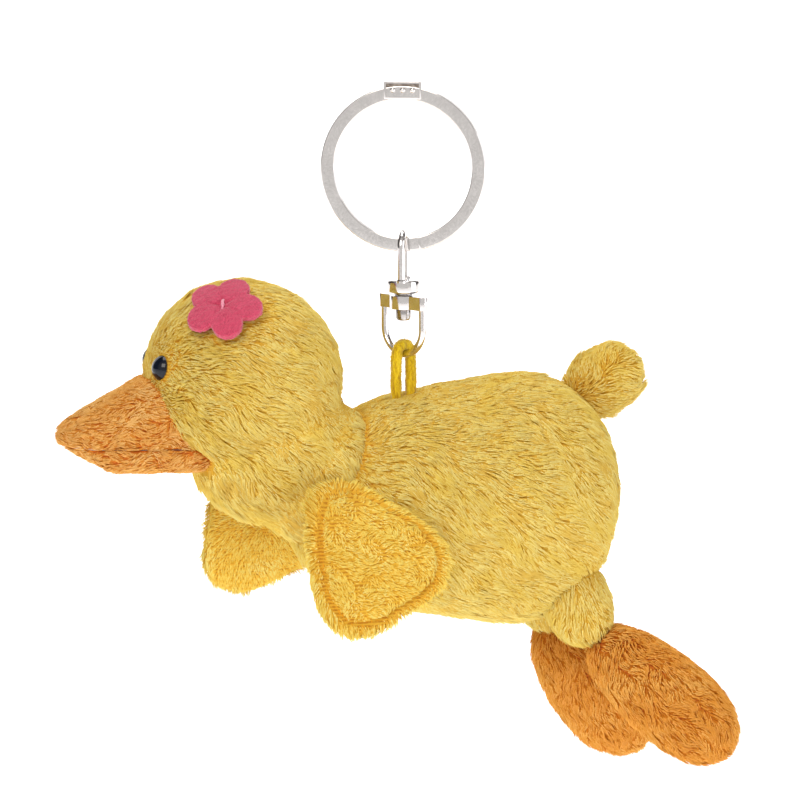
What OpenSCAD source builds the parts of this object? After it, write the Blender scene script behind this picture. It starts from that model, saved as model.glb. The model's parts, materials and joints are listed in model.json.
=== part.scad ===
// Plush duck keychain: a stuffed toy that hangs from a split key ring by a swivel and a cord loop.
// Millimetres, +Z up. The duck faces -X and its left side is -Y.
// The origin is the top of the ring's inside, where a hook or a finger holds it.

/* [Key ring] */
// Outer diameter of the split ring
ring_d = 25; // [24:0.5:28]
// Radial width of the flat wire
ring_w = 2.05; // [1.8:0.05:2.3]
// Thickness of both turns together
ring_t = 1.7; // [1.5:0.1:1.8]
// Direction that the ring's face looks in, about Z
ring_turn = -29; // [-60:1:60]
// Length of the blank badge at the top
badge_len = 5.7; // [4:0.1:7]

/* [Swivel] */
// Wire diameter of the eye and the bow
wire_d = 1.15; // [1:0.05:1.2]
// Distance between the centres of the eye's legs
eye_gap = 4.5; // [4.4:0.1:5]
// Diameter of the eye's base disc
disc_d = 5.2; // [4.5:0.1:6]
// Height of the eye's base disc
disc_h = 2; // [1.5:0.1:2.2]
// Diameter of the rivet's shank
rivet_d = 1.5; // [1.2:0.1:1.8]
// Length of the bow's band, across both legs
band_len = 9; // [8:0.1:10]
// Height of the bow's band
band_h = 2; // [1.6:0.1:2.4]
// Height of the bow below its band
bow_drop = 7.5; // [6.5:0.1:8]
// Direction of the bow's plane, about Z
bow_turn = -64; // [-90:1:0]
// Radial running clearance of the swivel and of the cord on the bow
run_gap = 0.06; // [0.02:0.01:0.1]

/* [Cord] */
// Diameter of the cord
cord_d = 1.65; // [1.4:0.05:2]
// Height where the cord enters the back seam
seam_z = -44.9; // [-45.2:0.1:-44.6]

/* [Torso] */
// Half of the torso's length
torso_len = 26; // [24:0.5:27]
// Radius of the torso at its middle
torso_r = 17; // [16:0.25:17.5]
// Swelling towards the rear, as a share of the radius
torso_swell = 0.15; // [0.05:0.01:0.2]
// Thickness of plush fabric, backing and pressed pile
skin = 1.2; // [0.8:0.1:1.6]
// Radius of the pouch of pellets
pouch_r = 6.2; // [4:0.1:6.4]
// Place of the pouch along the torso, from the cord
pouch_x = -1.5; // [-2:0.5:10]
// Depth of the pouch below the torso's middle line
pouch_drop = 7.3; // [5:0.1:7.5]

/* [Head] */
// Radius of the skull
skull_r = 14.4; // [13.5:0.1:14.6]
// Radius of the throat
throat_r = 12; // [11:0.1:12.5]
// Radius of the neck seam
neck_r = 10.5; // [10:0.1:10.8]
// Diameter of the eye beads
bead_d = 4.2; // [3.5:0.1:5]
// Length of one petal of the flower, from its centre
petal_reach = 5.85; // [5:0.05:6.5]
// Thickness of the felt
felt_t = 1; // [0.8:0.1:1.5]
// Turn of the head away from straight ahead, about Z
head_turn = -10; // [-12:1:0]

/* [Limbs] */
// Radius of a wing's outline
wing_r = 11.4; // [10:0.1:12]
// Half of a wing's thickness
wing_t = 2.75; // [2:0.05:3]
// Lean of the wings away from the body
wing_lean = 20; // [16:1:30]
// Half of a foot's length
foot_len = 12.4; // [11:0.1:13]
// Half of a foot's width
foot_r = 5.8; // [5:0.1:6.5]
// Slope of the left foot below the horizontal
foot_left_slope = 40; // [30:1:60]
// Slope of the right foot below the horizontal
foot_right_slope = 47; // [35:1:60]
// Turn of both feet outwards
foot_splay = 20; // [10:1:30]
// Half of the tail's length
tail_len = 5; // [4.6:0.1:5.4]
// Radius of the tail
tail_r = 4.7; // [4.3:0.1:5]

/* [Hidden] */

$fn = 48;
steps = 20;              // straight steps in half of a soft outline
tiny = 0.04;             // gap between a skin and its filling
thread_d = 0.6;

// Ring: centre, wire and badge
ring_in = ring_d / 2 - ring_w;
ring_z = -ring_in;
leaf_gap = 0.1;          // between the two turns
leaf_t = (ring_t - leaf_gap) / 2;
leaf_edge = 0.12;        // chamfer of the wire's edges
badge_in = 0.02;
badge_rim = 0.35;
badge_t = 0.6;

// Swivel: heights, worked down from the ring
arch_r = eye_gap / 2;
arch_z = -2 * ring_in - 1.42;
disc_z = -29.2;
washer_t = 0.35;
washer_d = 2.8;
boss_d = 4.2;            // round the rivet, in the bow's band
band_t = 1.6;
band_z = disc_z - washer_t - run_gap - band_h;
tail_z = band_z - run_gap;
tail_h = 1.8;
tail_end_r = 1.15;
leg_x = (band_len - wire_d) / 2;
bow_z = band_z + wire_d / 2 - bow_drop + leg_x;
wire_z = bow_z - leg_x;

// Cord
strand_x = wire_d / 2 + run_gap + cord_d / 2;
knot_r = 2;

// Torso and head centres
torso_at = [7.5, 0, -60.9];
skull_at = [-25.3, 0, -41.4];
throat_at = [-21.3, 0, -50.6];
neck_at = [-15.1, 0, -55];
neck_gap = 0.3;
blunt = 2.6;

// Legs, feet and tail
leg_at = [24.7, 7.6, -76];
leg_len = 7;
leg_r = 4.8;
leg_slope = 70;
foot_left_at = [28.6, 8, -82.9];
foot_right_at = [27.6, 8, -83.6];
tail_at = [28.4, 0, -45.95];
tail_slope = 30;

// Wings
wing_left_at = [-11.4, 19.5, -67.3];
wing_right_at = [-15, 19.5, -68.6];

// Sewn gap that keeps the limbs clear of the torso
limb_gap = 0.35;

// Half outline of a soft form that is round about its length, for rotate_extrude
function egg(len, rad, swell, power) = [
    for (i = [0 : steps])
        let (
            a = 180 * i / steps,
            c = cos(a),
            u = sign(c) * pow(abs(c), 2 / power),
            r = pow(abs(sin(a)), 2 / power)
        )
        [i == 0 || i == steps ? 0 : rad * r * (1 + swell * u), len * u]
];

module egg_half(len, rad, swell = 0, power = 2) {
    rotate_extrude(angle = 180) polygon(egg(len, rad, swell, power));
}

module egg_whole(len, rad, swell = 0, power = 2) {
    rotate_extrude() polygon(egg(len, rad, swell, power));
}

module egg_shell(len, rad, wall, swell = 0, power = 2) {
    rotate_extrude(angle = 180) difference() {
        polygon(egg(len, rad, swell, power));
        polygon(egg(len - wall, rad - wall, swell, power));
    }
}

// Turns a form made along Z so that it points along +X and down by the slope
module lie(slope) {
    rotate([0, 90 + slope, 0]) children();
}

// Mirrors a form made for the right side (+Y) to the left side
module on_side(side) {
    if (side < 0) mirror([0, 1, 0]) children();
    else children();
}

module half_space(side) {
    translate([-100, side < 0 ? -100 : 0, -150]) cube([200, 100, 200]);
}

// ---- Key ring ----

module leaf(y, start) {
    translate([0, 0, ring_z]) rotate([90, 0, 0]) rotate([0, 0, start]) translate([0, 0, y])
        rotate_extrude(angle = 352) translate([ring_in, 0]) leaf_section();
}

module leaf_section() {
    polygon([
        [0, leaf_edge], [leaf_edge, 0], [ring_w - leaf_edge, 0], [ring_w, leaf_edge],
        [ring_w, leaf_t - leaf_edge], [ring_w - leaf_edge, leaf_t],
        [leaf_edge, leaf_t], [0, leaf_t - leaf_edge]
    ]);
}

module key_ring() {
    color("#cfc9c9") rotate([0, 0, ring_turn]) {
        leaf(leaf_gap / 2, -86);
        leaf(-leaf_gap / 2 - leaf_t, -98);
        // the step where one turn passes into the other
        translate([0, 0, ring_z]) rotate([90, 0, 0]) rotate([0, 0, -97]) translate([0, 0, -leaf_t / 2])
            rotate_extrude(angle = 5) translate([ring_in, 0]) square([ring_w, leaf_t]);
        badge();
    }
}

// Blank cartouche with three beads, stamped into the top of the front turn
module badge() {
    difference() {
        translate([-badge_len / 2, -ring_t / 2 - 0.15, badge_in])
            cube([badge_len, badge_t, ring_w + 0.65]);
        translate([-badge_len / 2 + badge_rim, -ring_t / 2 - 0.3, badge_in + badge_rim])
            cube([badge_len - 2 * badge_rim, 0.4, ring_w - 0.05]);
    }
    for (x = [-1.5, 0, 1.5])
        translate([x, -ring_t / 2 + 0.1, badge_in + ring_w / 2 + 0.32]) sphere(d = 0.9);
}

// ---- Swivel ----

module swivel_eye() {
    color("#d2cdcc") rotate([0, 0, ring_turn]) {
        translate([0, 0, arch_z]) rotate([90, 0, 90])
            rotate_extrude(angle = 180) translate([arch_r, 0]) circle(d = wire_d);
        for (y = [-arch_r, arch_r])
            translate([0, y, disc_z + disc_h - 0.3]) cylinder(d = wire_d, h = arch_z - disc_z - disc_h + 0.3);
        difference() {
            translate([0, 0, disc_z]) rotate_extrude() disc_section();
            translate([0, 0, disc_z - 1]) cylinder(d = rivet_d, h = disc_h + 0.4);
        }
    }
}

module disc_section() {
    edge = 0.3;
    polygon([
        [0, 0], [disc_d / 2 - edge, 0], [disc_d / 2, edge],
        [disc_d / 2, disc_h - edge], [disc_d / 2 - edge, disc_h], [0, disc_h]
    ]);
}

module swivel_rivet() {
    color("#bfb9b8") {
        translate([0, 0, tail_z - 0.4]) cylinder(d = rivet_d, h = disc_z - tail_z + 0.4 + disc_h - 0.6);
        translate([0, 0, tail_z - tail_h]) rotate_extrude() polygon([
            [0, 0], [0.8, 0], [tail_end_r, 0.4], [tail_end_r, tail_h], [0, tail_h]
        ]);
    }
}

module rivet_washer() {
    color("#b5afae") translate([0, 0, disc_z - washer_t]) difference() {
        cylinder(d = washer_d, h = washer_t);
        translate([0, 0, -1]) cylinder(d = rivet_d, h = washer_t + 2);
    }
}

module swivel_bow() {
    color("#d2cdcc") rotate([0, 0, bow_turn]) {
        difference() {
            band();
            translate([0, 0, band_z - 1]) cylinder(d = rivet_d + 2 * run_gap, h = band_h + 2);
        }
        for (x = [-leg_x, leg_x])
            translate([x, 0, bow_z]) cylinder(d = wire_d, h = band_z - bow_z + 0.5);
        translate([0, 0, bow_z]) rotate([90, 0, 0]) rotate([0, 0, 180])
            rotate_extrude(angle = 180) translate([leg_x, 0]) circle(d = wire_d);
    }
}

// Flat band with round ends and a boss round the rivet
module band() {
    translate([0, 0, band_z]) {
        cylinder(d = boss_d, h = band_h);
        translate([-leg_x, -band_t / 2, 0]) cube([2 * leg_x, band_t, band_h]);
        for (x = [-leg_x, leg_x]) translate([x, 0, 0]) cylinder(d = band_t, h = band_h);
    }
}

// ---- Cord ----

module cord_loop() {
    color("#e0c414") rotate([0, 0, bow_turn + 90]) {
        translate([0, 0, wire_z]) rotate([90, 0, 0])
            rotate_extrude(angle = 180) translate([strand_x, 0]) circle(d = cord_d);
        for (x = [-strand_x, strand_x]) {
            translate([x, 0, seam_z]) cylinder(d = cord_d, h = wire_z - seam_z);
            translate([x, 0, seam_z]) sphere(d = cord_d);
        }
    }
}

module cord_knot() {
    color("#c7a010") knot_place() sphere(r = knot_r);
}

module knot_place() {
    translate([0, 0, seam_z - 4.2]) children();
}

// Hollows in the back where the two strands go in
module strand_dimples() {
    rotate([0, 0, bow_turn + 90]) for (x = [-strand_x, strand_x])
        translate([x, 0, seam_z]) sphere(r = cord_d / 2 + 0.2);
}

// ---- Torso ----

module torso_cuts() {
    translate(neck_at) sphere(r = neck_r + neck_gap);
    strand_dimples();
}

module torso_panel(side) {
    color("#edc24f") difference() {
        on_side(side) translate(torso_at) lie(0) egg_shell(torso_len, torso_r, skin, torso_swell, blunt);
        torso_cuts();
    }
}

module torso_left_panel() { torso_panel(-1); }
module torso_right_panel() { torso_panel(1); }

module torso_stuffing() {
    color("#f4f1ea") difference() {
        translate(torso_at) lie(0)
            egg_whole(torso_len - skin - tiny, torso_r - skin - tiny, torso_swell, blunt);
        torso_cuts();
        knot_place() sphere(r = knot_r + tiny);
        pouch_place() sphere(r = pouch_r + tiny);
    }
}

module pellet_pouch() {
    color("#d9d4c8") pouch_place() sphere(r = pouch_r);
}

module pouch_place() {
    translate([pouch_x, 0, torso_at.z - pouch_drop]) children();
}

// ---- Legs ----

module leg(side) {
    color("#e8b945") on_side(side) difference() {
        translate(leg_at) lie(leg_slope) egg_whole(leg_len, leg_r, 0, 2.4);
        translate(torso_at) lie(0) egg_whole(torso_len + tiny, torso_r + tiny, torso_swell, blunt);
    }
}

module leg_left() { leg(-1); }
module leg_right() { leg(1); }

// ---- Head ----

// The head's parts are made straight and turned together on the neck
module head_pose() {
    translate(neck_at) rotate([0, 0, head_turn]) translate(-neck_at) children();
}

module head_form(inset) {
    translate(skull_at) sphere(r = skull_r - inset);
    translate(throat_at) sphere(r = throat_r - inset);
    translate(neck_at) sphere(r = neck_r - inset);
}

module head_panel(side) {
    color("#edc24f") difference() {
        intersection() {
            head_form(0);
            half_space(side);
        }
        head_form(skin);
        on_side(side) bead_place() cylinder(d = shank_d, h = 20, center = true);
    }
}

module head_left_panel() { head_pose() head_panel(-1); }
module head_right_panel() { head_pose() head_panel(1); }

module head_stuffing() {
    color("#f4f1ea") head_pose() difference() {
        head_form(skin + tiny);
        for (side = [-1, 1]) on_side(side) bead_place() {
            translate([0, 0, -shank_len - tiny]) cylinder(d = shank_d + 2 * tiny, h = 20);
            translate([0, 0, -nut_depth - tiny]) cylinder(d = nut_d + 2 * tiny, h = 20);
        }
    }
}

// ---- Beak ----

// Upper and lower halves of the bill, which meet at the mouth line
bill_root = skull_at.x - 9;
mouth_z = -51.6;

module bill_cut() {
    translate(skull_at) sphere(r = skull_r + 0.02);
    translate(throat_at) sphere(r = throat_r + 0.02);
}

module bill(inset) {
    hull() {
        for (y = [-1, 1]) {
            translate([bill_root, 3.6 * y, mouth_z + 8.2]) sphere(r = 4.2 - inset, $fn = 24);
            translate([bill_root - 7.4, 2.8 * y, mouth_z + 4.6]) sphere(r = 3.6 - inset, $fn = 24);
            translate([bill_root - 14.2, 2.6 * y, mouth_z + 1.5]) sphere(r = 2.9 - inset, $fn = 24);
            translate([bill_root - 10.2, 3.8 * y, mouth_z - 0.7]) sphere(r = 3.1 - inset, $fn = 24);
            translate([bill_root + 2, 5 * y, mouth_z - 0.4]) sphere(r = 3.3 - inset, $fn = 24);
        }
        translate([bill_root - 16.4, 0, mouth_z + 1.4]) sphere(r = 2.4 - inset, $fn = 24);
    }
}

module above_mouth(inset) {
    translate([-100, -50, mouth_z + inset]) cube([100, 100, 50]);
}

module beak_upper() {
    color("#e89a45") head_pose() difference() {
        intersection() { bill(0); above_mouth(0.05); }
        bill(skin);
        bill_cut();
    }
}

module beak_lower() {
    color("#d9823a") head_pose() difference() {
        bill(0);
        above_mouth(-0.05);
        bill(skin);
        bill_cut();
    }
}

module beak_stuffing() {
    color("#f4f1ea") head_pose() difference() {
        bill(skin + tiny);
        bill_cut();
    }
}

// ---- Eyes ----

shank_d = 1.4;
shank_len = 4.2;
nut_d = 4;
nut_t = 0.8;
nut_depth = skin + nut_t + 0.25;     // the skin is curved and the nut is flat
bead_azimuth = 203;
bead_rise = 13;
bead_sunk = 0.6;                     // how far the bead's middle lies below the fabric

// The bead's own frame: +Z points out of the head at its surface
module bead_place() {
    translate(skull_at)
        rotate([0, 0, -bead_azimuth])
            rotate([0, 90 - bead_rise, 0])
                translate([0, 0, skull_r]) children();
}

module eye(side) {
    color("#14161c") on_side(side) bead_place() {
        intersection() {
            translate([0, 0, -bead_sunk]) sphere(d = bead_d);
            translate([0, 0, 5.02]) cube(10, center = true);
        }
        translate([0, 0, -shank_len]) cylinder(d = shank_d, h = shank_len + 0.5);
    }
}

module eye_washer(side) {
    color("#e9e6df") on_side(side) bead_place() translate([0, 0, -nut_depth]) difference() {
        cylinder(d = nut_d, h = nut_t);
        translate([0, 0, -1]) cylinder(d = shank_d, h = nut_t + 2);
    }
}

module eye_left() { head_pose() eye(-1); }
module eye_right() { head_pose() eye(1); }
module eye_washer_left() { head_pose() eye_washer(-1); }
module eye_washer_right() { head_pose() eye_washer(1); }

// ---- Flower ----

flower_azimuth = 247;
flower_rise = 49;
flower_lift = 1.6;                   // the pile holds the felt clear of the fabric
petal_r = 2.3;
flower_r = 2.9;

module flower_place() {
    translate(skull_at)
        rotate([0, 0, flower_azimuth])
            rotate([0, 90 - flower_rise, 0])
                translate([0, 0, skull_r + flower_lift]) children();
}

module flower() {
    color("#dd4a6e") head_pose() flower_place() difference() {
        linear_extrude(felt_t) {
            for (i = [0 : 4]) rotate(72 * i + 20) translate([petal_reach - petal_r, 0]) circle(r = petal_r);
            circle(r = flower_r);
        }
        translate([0, 0, -1]) cylinder(d = thread_d, h = felt_t + 2);
    }
}

module flower_stitch() {
    color("#f3e6e2") head_pose() flower_place() {
        translate([0, 0, tiny - flower_lift]) cylinder(d = thread_d, h = felt_t + flower_lift - tiny);
        translate([-0.9, -0.25, felt_t]) cube([1.8, 0.5, 0.3]);
    }
}

// ---- Wings ----

// The wing's own frame: +Z points away from the body
module wing_place(side) {
    on_side(side) translate(side < 0 ? wing_left_at : wing_right_at)
        rotate([-90 + wing_lean, 0, 0]) children();
}

// Half outline of the pad between two heights of its thickness
function pad(r, t, upper) = [
    for (i = [0 : steps / 2])
        let (a = 90 * i / (steps / 2))
        [i == steps / 2 ? 0 : r * pow(cos(a), 0.7), (upper ? 1 : -1) * t * pow(sin(a), 0.85)]
];

module pad_half(r, t, upper) {
    rotate_extrude() polygon(concat([[0, 0]], pad(r, t, upper)));
}

module wing_fabric(side, upper) {
    color(upper ? "#f5c255" : "#efbf48") wing_place(side) difference() {
        pad_half(wing_r, wing_t, upper);
        pad_half(wing_r - skin, wing_t - skin, upper);
    }
}

module wing_stuffing(side) {
    color("#f4f1ea") wing_place(side) {
        r = wing_r - skin - tiny;
        t = wing_t - skin - tiny;
        rotate_extrude() polygon(concat(
            pad(r, t, false),
            [for (i = [steps / 2 : -1 : 1]) pad(r, t, true)[i]]
        ));
    }
}

module wing_left_outer() { wing_fabric(-1, true); }
module wing_left_inner() { wing_fabric(-1, false); }
module wing_left_stuffing() { wing_stuffing(-1); }
module wing_right_outer() { wing_fabric(1, true); }
module wing_right_inner() { wing_fabric(1, false); }
module wing_right_stuffing() { wing_stuffing(1); }

// ---- Feet ----

function foot_point(side) = side < 0 ? foot_left_at : foot_right_at;
function foot_slope(side) = side < 0 ? foot_left_slope : foot_right_slope;

// The foot's own frame: +Z runs from the ankle to the toes, and +Y is the top
module foot_place(side) {
    on_side(side) translate(foot_point(side)) rotate([0, 0, foot_splay]) lie(foot_slope(side))
        rotate([0, 0, 90]) translate([0, 0, foot_len + limb_gap]) children();
}

module foot_top(side) {
    color("#f0a040") foot_place(side) rotate([0, 0, 180]) egg_shell(foot_len, foot_r, skin, 0.12, 2.2);
}

module foot_sole(side) {
    color("#e8922f") foot_place(side) egg_shell(foot_len, foot_r, skin, 0.12, 2.2);
}

module foot_stuffing(side) {
    color("#f4f1ea") foot_place(side)
        egg_whole(foot_len - skin - tiny, foot_r - skin - tiny, 0.12, 2.2);
}

module foot_left_top() { foot_top(-1); }
module foot_left_sole() { foot_sole(-1); }
module foot_left_stuffing() { foot_stuffing(-1); }
module foot_right_top() { foot_top(1); }
module foot_right_sole() { foot_sole(1); }
module foot_right_stuffing() { foot_stuffing(1); }

// ---- Tail ----

// The tail's own frame: +Z runs from its root to its tip, and +Y is one side
module tail_place() {
    translate(tail_at) lie(-tail_slope) rotate([0, 0, 90]) translate([0, 0, tail_len + limb_gap]) children();
}

module tail_upper() {
    color("#edc24f") tail_place() egg_shell(tail_len, tail_r, skin, 0.08, 2.2);
}

module tail_lower() {
    color("#e5b848") tail_place() rotate([0, 0, 180]) egg_shell(tail_len, tail_r, skin, 0.08, 2.2);
}

module tail_stuffing() {
    color("#f4f1ea") tail_place() egg_whole(tail_len - skin - tiny, tail_r - skin - tiny, 0.08, 2.2);
}

key_ring();
swivel_eye();
swivel_rivet();
rivet_washer();
swivel_bow();
cord_loop();
cord_knot();
torso_left_panel();
torso_right_panel();
torso_stuffing();
pellet_pouch();
leg_left();
leg_right();
head_left_panel();
head_right_panel();
head_stuffing();
beak_upper();
beak_lower();
beak_stuffing();
eye_left();
eye_right();
eye_washer_left();
eye_washer_right();
flower();
flower_stitch();
wing_left_outer();
wing_left_inner();
wing_left_stuffing();
wing_right_outer();
wing_right_inner();
wing_right_stuffing();
foot_left_top();
foot_left_sole();
foot_left_stuffing();
foot_right_top();
foot_right_sole();
foot_right_stuffing();
tail_upper();
tail_lower();
tail_stuffing();
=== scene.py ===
"""Looks of the plush duck keychain: plated ring and swivel, cotton cord, stuffed skins and their pile.

Everything is in metres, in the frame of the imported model: +Z up, the duck faces -X, its left side
is -Y, and the origin is the top of the key ring's inside.
"""

from __future__ import annotations

import json
import logging
import math
from contextlib import contextmanager
from dataclasses import dataclass, field
from enum import Enum
from itertools import product
from typing import Callable, Iterator, Optional, Sequence

import bpy
import numpy as np
from mathutils import Matrix, Vector
from mathutils.kdtree import KDTree

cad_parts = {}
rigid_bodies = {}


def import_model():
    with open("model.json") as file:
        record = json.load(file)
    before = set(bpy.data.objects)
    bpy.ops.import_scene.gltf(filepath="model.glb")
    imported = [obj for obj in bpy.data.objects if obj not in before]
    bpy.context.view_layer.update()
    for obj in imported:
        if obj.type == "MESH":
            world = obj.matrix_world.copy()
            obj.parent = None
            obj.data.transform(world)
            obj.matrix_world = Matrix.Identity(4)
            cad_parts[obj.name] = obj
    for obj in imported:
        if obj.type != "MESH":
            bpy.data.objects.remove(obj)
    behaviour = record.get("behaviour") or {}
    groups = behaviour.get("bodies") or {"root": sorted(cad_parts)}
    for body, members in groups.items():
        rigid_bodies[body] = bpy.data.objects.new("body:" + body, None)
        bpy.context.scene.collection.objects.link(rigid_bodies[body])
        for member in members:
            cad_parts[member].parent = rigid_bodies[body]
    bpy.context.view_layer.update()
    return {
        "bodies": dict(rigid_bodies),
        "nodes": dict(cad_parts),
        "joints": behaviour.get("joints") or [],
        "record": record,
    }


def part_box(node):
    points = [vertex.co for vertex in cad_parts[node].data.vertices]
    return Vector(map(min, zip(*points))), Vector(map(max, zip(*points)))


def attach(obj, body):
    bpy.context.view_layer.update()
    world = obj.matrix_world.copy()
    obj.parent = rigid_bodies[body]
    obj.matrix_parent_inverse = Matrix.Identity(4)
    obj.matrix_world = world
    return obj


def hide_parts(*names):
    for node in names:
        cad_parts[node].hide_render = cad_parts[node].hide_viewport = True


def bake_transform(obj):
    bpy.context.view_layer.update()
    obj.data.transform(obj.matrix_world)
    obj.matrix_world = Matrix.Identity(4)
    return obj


MM = 0.001
ORIGIN = (0.0, 0.0, 0.0)
WELD = 0.002 * MM  # points closer than this are merged
FLAT_BELOW = 50.0  # pieces with creases sharper than this, in degrees, keep their broad faces flat
LOG = logging.getLogger("duck")

Array = np.ndarray
Flow = Callable[[Array, Array], Array]
Measure = Callable[[Array], Array]


class Side(Enum):
    """The duck's left side is -Y and its right side is +Y."""

    LEFT = -1
    RIGHT = 1

    @property
    def word(self) -> str:
        """The side's name, as it stands in node names."""
        return self.name.lower()


# ---------------------------------------------------------------------------------------------
# Mesh helpers
# ---------------------------------------------------------------------------------------------


def pick(*pieces: bpy.types.Object) -> None:
    """Select only these pieces and make the first one active.

    Args:
        pieces: the objects to select.
    """
    bpy.ops.object.select_all(action="DESELECT")
    for piece in pieces:
        piece.select_set(True)
    bpy.context.view_layer.objects.active = pieces[0]


@contextmanager
def editing(piece: bpy.types.Object) -> Iterator[None]:
    """Work on a piece in edit mode with all of it selected.

    Args:
        piece: the mesh object to edit.
    """
    pick(piece)
    bpy.ops.object.mode_set(mode="EDIT")
    bpy.ops.mesh.select_all(action="SELECT")
    yield
    bpy.ops.object.mode_set(mode="OBJECT")


def modify(piece: bpy.types.Object, kind: str, **settings: object) -> None:
    """Add a modifier to a piece and apply it.

    Args:
        piece: the mesh object.
        kind: the modifier's type name.
        settings: the modifier's own properties.
    """
    pick(piece)
    modifier = piece.modifiers.new(kind.title(), kind)
    for key, value in settings.items():
        setattr(modifier, key, value)
    bpy.ops.object.modifier_apply(modifier=modifier.name)


def refine(piece: bpy.types.Object) -> None:
    """Divide a piece's faces once, rounding them."""
    modify(piece, "SUBSURF", levels=1, render_levels=1)


def smooth(piece: bpy.types.Object, rounds: int) -> None:
    """Even out a piece's points."""
    modify(piece, "SMOOTH", factor=0.5, iterations=rounds)


def joined(name: str, pieces: Sequence[bpy.types.Object]) -> bpy.types.Object:
    """Join pieces into one object.

    Args:
        name: the name of the result.
        pieces: the objects to join.

    Returns:
        The joined object.
    """
    pick(*pieces)
    if len(pieces) > 1:
        bpy.ops.object.join()
    pieces[0].name = name
    pieces[0].data.name = name
    return pieces[0]


def mesh_piece(name: str, points: Array, faces: Array, edges: Sequence = ()) -> bpy.types.Object:
    """Make an object from points and faces.

    Args:
        name: the object's name.
        points: vertex places in metres.
        faces: vertex numbers of each face.
        edges: vertex pairs of loose edges.

    Returns:
        The new object.
    """
    mesh = bpy.data.meshes.new(name)
    mesh.from_pydata(points, edges, faces)
    piece = bpy.data.objects.new(name, mesh)
    bpy.context.scene.collection.objects.link(piece)
    return piece


def turned(at: Sequence[float], *turns: tuple[str, float]) -> Matrix:
    """Work out a place from a point and turns about the axes, the last turn made first.

    Args:
        at: the point in metres.
        turns: axis name and degrees of each turn.

    Returns:
        The place as a matrix.
    """
    place = Matrix.Translation(Vector(at))
    for axis, degrees in turns:
        place = place @ Matrix.Rotation(math.radians(degrees), 4, axis)
    return place


def mirrored(side: Side, place: Matrix) -> Matrix:
    """Move a place that is written for the right side to the side that is asked for."""
    return Matrix.Diagonal((1, side.value, 1, 1)) @ place


def settle(piece: bpy.types.Object, place: Matrix) -> bpy.types.Object:
    """Put a piece at its place, with the place in its mesh, and face it outwards again.

    Args:
        piece: the mesh object, made about its own origin.
        place: where it goes.

    Returns:
        The same object.
    """
    piece.matrix_world = place
    pick(piece)
    bpy.ops.object.transform_apply()
    with editing(piece):
        bpy.ops.mesh.normals_make_consistent(inside=False)
    return piece


def spun(
    name: str, profile: Sequence[tuple[float, float]], steps: int, degrees: float = 360.0,
    ring: bool = False,
) -> bpy.types.Object:
    """Spin a profile about Z, as on a lathe.

    Args:
        name: the object's name.
        profile: radius and height of each point, in metres.
        steps: number of steps round the axis.
        degrees: how far the profile turns.
        ring: whether the profile is a closed loop that stays clear of the axis.

    Returns:
        A closed mesh object.
    """
    points = np.array([(r, 0.0, z) for r, z in profile])
    edges = [(i, i + 1) for i in range(len(profile) - 1)]
    if ring:
        edges.append((len(profile) - 1, 0))
    piece = mesh_piece(name, points, (), edges)
    with editing(piece):
        bpy.ops.mesh.spin(
            steps=steps, angle=math.radians(degrees), center=(0, 0, 0), axis=(0, 0, 1), dupli=False
        )
        bpy.ops.mesh.select_all(action="SELECT")
        bpy.ops.mesh.remove_doubles(threshold=WELD)
        bpy.ops.mesh.select_all(action="SELECT")
        bpy.ops.mesh.fill_holes(sides=0)
        bpy.ops.mesh.normals_make_consistent(inside=False)
    return piece


def tube(name: str, points: Array, radius: float, sides: int = 6) -> bpy.types.Object:
    """Sweep a round wire along points.

    Args:
        name: the object's name.
        points: the wire's middle line, in metres.
        radius: the wire's radius, in metres.
        sides: a quarter of the number of sides.

    Returns:
        A closed mesh object.
    """
    curve = bpy.data.curves.new(name, "CURVE")
    curve.dimensions = "3D"
    curve.bevel_depth = radius
    curve.bevel_resolution = sides
    curve.use_fill_caps = True
    spline = curve.splines.new("POLY")
    spline.points.add(len(points) - 1)
    for point, place in zip(spline.points, points):
        point.co = (*place, 1.0)
    piece = bpy.data.objects.new(name, curve)
    bpy.context.scene.collection.objects.link(piece)
    pick(piece)
    bpy.ops.object.convert(target="MESH")
    with editing(piece):
        bpy.ops.mesh.remove_doubles(threshold=WELD)
        bpy.ops.mesh.normals_make_consistent(inside=False)
    return piece


def ball(name: str, centre: Vector, radius: float, segments: int = 32) -> bpy.types.Object:
    """Add a ball, which other work then shapes.

    Args:
        name: the object's name.
        centre: its centre in metres.
        radius: its radius in metres.
        segments: steps round its middle.

    Returns:
        The mesh object.
    """
    bpy.ops.mesh.primitive_uv_sphere_add(
        segments=segments, ring_count=segments // 2, radius=radius, location=centre
    )
    piece = bpy.context.active_object
    piece.name = name
    bpy.ops.object.transform_apply()
    return piece


def places_of(piece: bpy.types.Object) -> Array:
    """Read the places of a mesh's points."""
    found = np.empty(len(piece.data.vertices) * 3)
    piece.data.vertices.foreach_get("co", found)
    return found.reshape(-1, 3)


def facings_of(piece: bpy.types.Object) -> Array:
    """Read the normals at a mesh's points."""
    found = np.empty(len(piece.data.vertices) * 3)
    piece.data.vertices.foreach_get("normal", found)
    return found.reshape(-1, 3)


def carried(points: Array, place: Matrix) -> Array:
    """Carry points along by a matrix."""
    return (np.c_[points, np.ones(len(points))] @ np.array(place).T)[:, :3]


def move_points(piece: bpy.types.Object, places: Array) -> None:
    """Write new places for a mesh's points."""
    piece.data.vertices.foreach_set("co", np.ascontiguousarray(places, dtype=np.float32).ravel())
    piece.data.update()


def unit(vectors: Array) -> Array:
    """Scale vectors to a length of one."""
    return vectors / np.maximum(np.linalg.norm(vectors, axis=-1, keepdims=True), 1e-12)


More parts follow.
